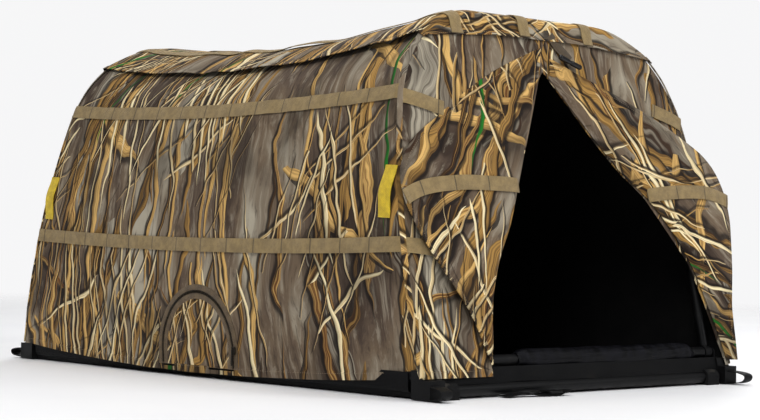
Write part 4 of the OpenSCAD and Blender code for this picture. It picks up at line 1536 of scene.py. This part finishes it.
FLOOR_HALF = 30.0
FLOOR_FADE = (1.7, 5.5)
DOME_RADIUS = 26.0
DOME_TOP = 18.0
# name, place, width, power
LAMPS = [
    ("key", (-3.4, -3.0, 3.8), 1.8, 145),
    ("front", (1.8, -4.2, 2.6), 1.8, 70),
    ("top", (0.2, 0.4, 4.4), 3.0, 90),
    ("rim", (3.4, 2.6, 2.8), 2.2, 60),
]
LAMP_TARGET = Vector((0, 0, 0.25))
CAMERA_PLACE = (-2.2315, -2.5832, 0.2274)
CAMERA_YAW, CAMERA_PITCH, CAMERA_ROLL = (math.radians(a) for a in (41.18, 1.22, 0.853))
CAMERA_LENS = 86.17


def stage():
    """Pale floor that fades into the backdrop, soft lights and the camera."""
    size = FLOOR_HALF
    mesh = bpy.data.meshes.new("floor")
    mesh.from_pydata([(-size, -size, 0), (size, -size, 0), (size, size, 0), (-size, size, 0)], [],
                     [(0, 1, 2, 3)])
    material, graph, shader = new_material("studio_floor", 0.55, specular=0.3)
    place = graph.node("TexCoord").outputs["Object"]
    mottle = graph.noise(place, 3.0, 3.0).outputs[0]
    graph.feed(shader.inputs["Base Color"],
               graph.mix(graph.step(mottle, 0.3, 0.7), srgb(250, 250, 251), srgb(247, 247, 249)))
    far = graph.node("VectorMath", place, operation="LENGTH").outputs["Value"]
    graph.feed(shader.inputs["Alpha"], graph.step(far, *FLOOR_FADE, 1.0, 0.0))
    mesh.materials.append(material)
    floor = bpy.data.objects.new("studio_floor", mesh)
    bpy.context.scene.collection.objects.link(floor)

    world = bpy.data.worlds.new("studio")
    world.use_nodes = True
    world.node_tree.nodes["Background"].inputs[0].default_value = (0.93, 0.94, 0.96, 1)
    world.node_tree.nodes["Background"].inputs[1].default_value = 0.30
    bpy.context.scene.world = world
    bpy.context.scene.view_settings.view_transform = "Standard"
    dome_mesh = bpy.data.meshes.new("backdrop")
    verts, faces = tube_mesh([(0, 0, -1), (0, 0, DOME_TOP)], DOME_RADIUS, 64)
    dome_mesh.from_pydata([tuple(v) for v in verts], [], faces)
    glow = bpy.data.materials.new("backdrop")
    glow.use_nodes = True
    shader = glow.node_tree.nodes["Principled BSDF"]
    shader.inputs["Base Color"].default_value = (0, 0, 0, 1)
    shader.inputs["Specular IOR Level"].default_value = 0
    shader.inputs["Emission Color"].default_value = (0.925, 0.925, 0.932, 1)
    shader.inputs["Emission Strength"].default_value = 1.0
    dome_mesh.materials.append(glow)
    dome = bpy.data.objects.new("backdrop", dome_mesh)
    dome.visible_diffuse = dome.visible_glossy = dome.visible_shadow = False
    bpy.context.scene.collection.objects.link(dome)
    for name, place, width, power in LAMPS:
        lamp = bpy.data.lights.new(name, "AREA")
        lamp.energy = power
        lamp.size = width
        holder = bpy.data.objects.new(name, lamp)
        holder.location = place
        aim = LAMP_TARGET - Vector(place)
        holder.rotation_euler = aim.to_track_quat("-Z", "Y").to_euler()
        bpy.context.scene.collection.objects.link(holder)

    yaw, pitch, roll = CAMERA_YAW, CAMERA_PITCH, CAMERA_ROLL
    ahead = Vector((math.sin(yaw) * math.cos(pitch), math.cos(yaw) * math.cos(pitch),
                    math.sin(pitch)))
    right = Vector((math.cos(yaw), -math.sin(yaw), 0))
    up = right.cross(ahead)
    side = right * math.cos(roll) + up * math.sin(roll)
    top = up * math.cos(roll) - right * math.sin(roll)
    data = bpy.data.cameras.new("camera")
    data.lens = CAMERA_LENS
    data.sensor_width = 36.0
    data.clip_end = 100
    camera = bpy.data.objects.new("camera", data)
    rows = [(*row, at) for row, at in zip(zip(side, top, -ahead), CAMERA_PLACE)]
    camera.matrix_world = Matrix((*rows, (0, 0, 0, 1)))
    bpy.context.scene.collection.objects.link(camera)
    bpy.context.scene.camera = camera


stage()
paint_frame()
roof_grid = build_cover()
build_straps(roof_grid)
build_door()
build_hatch()
sill_pad()
floor_tray()
ground_skirt()
stake_loops()
tie_strap()
hem_stitches()
roof_stitches(roof_grid)
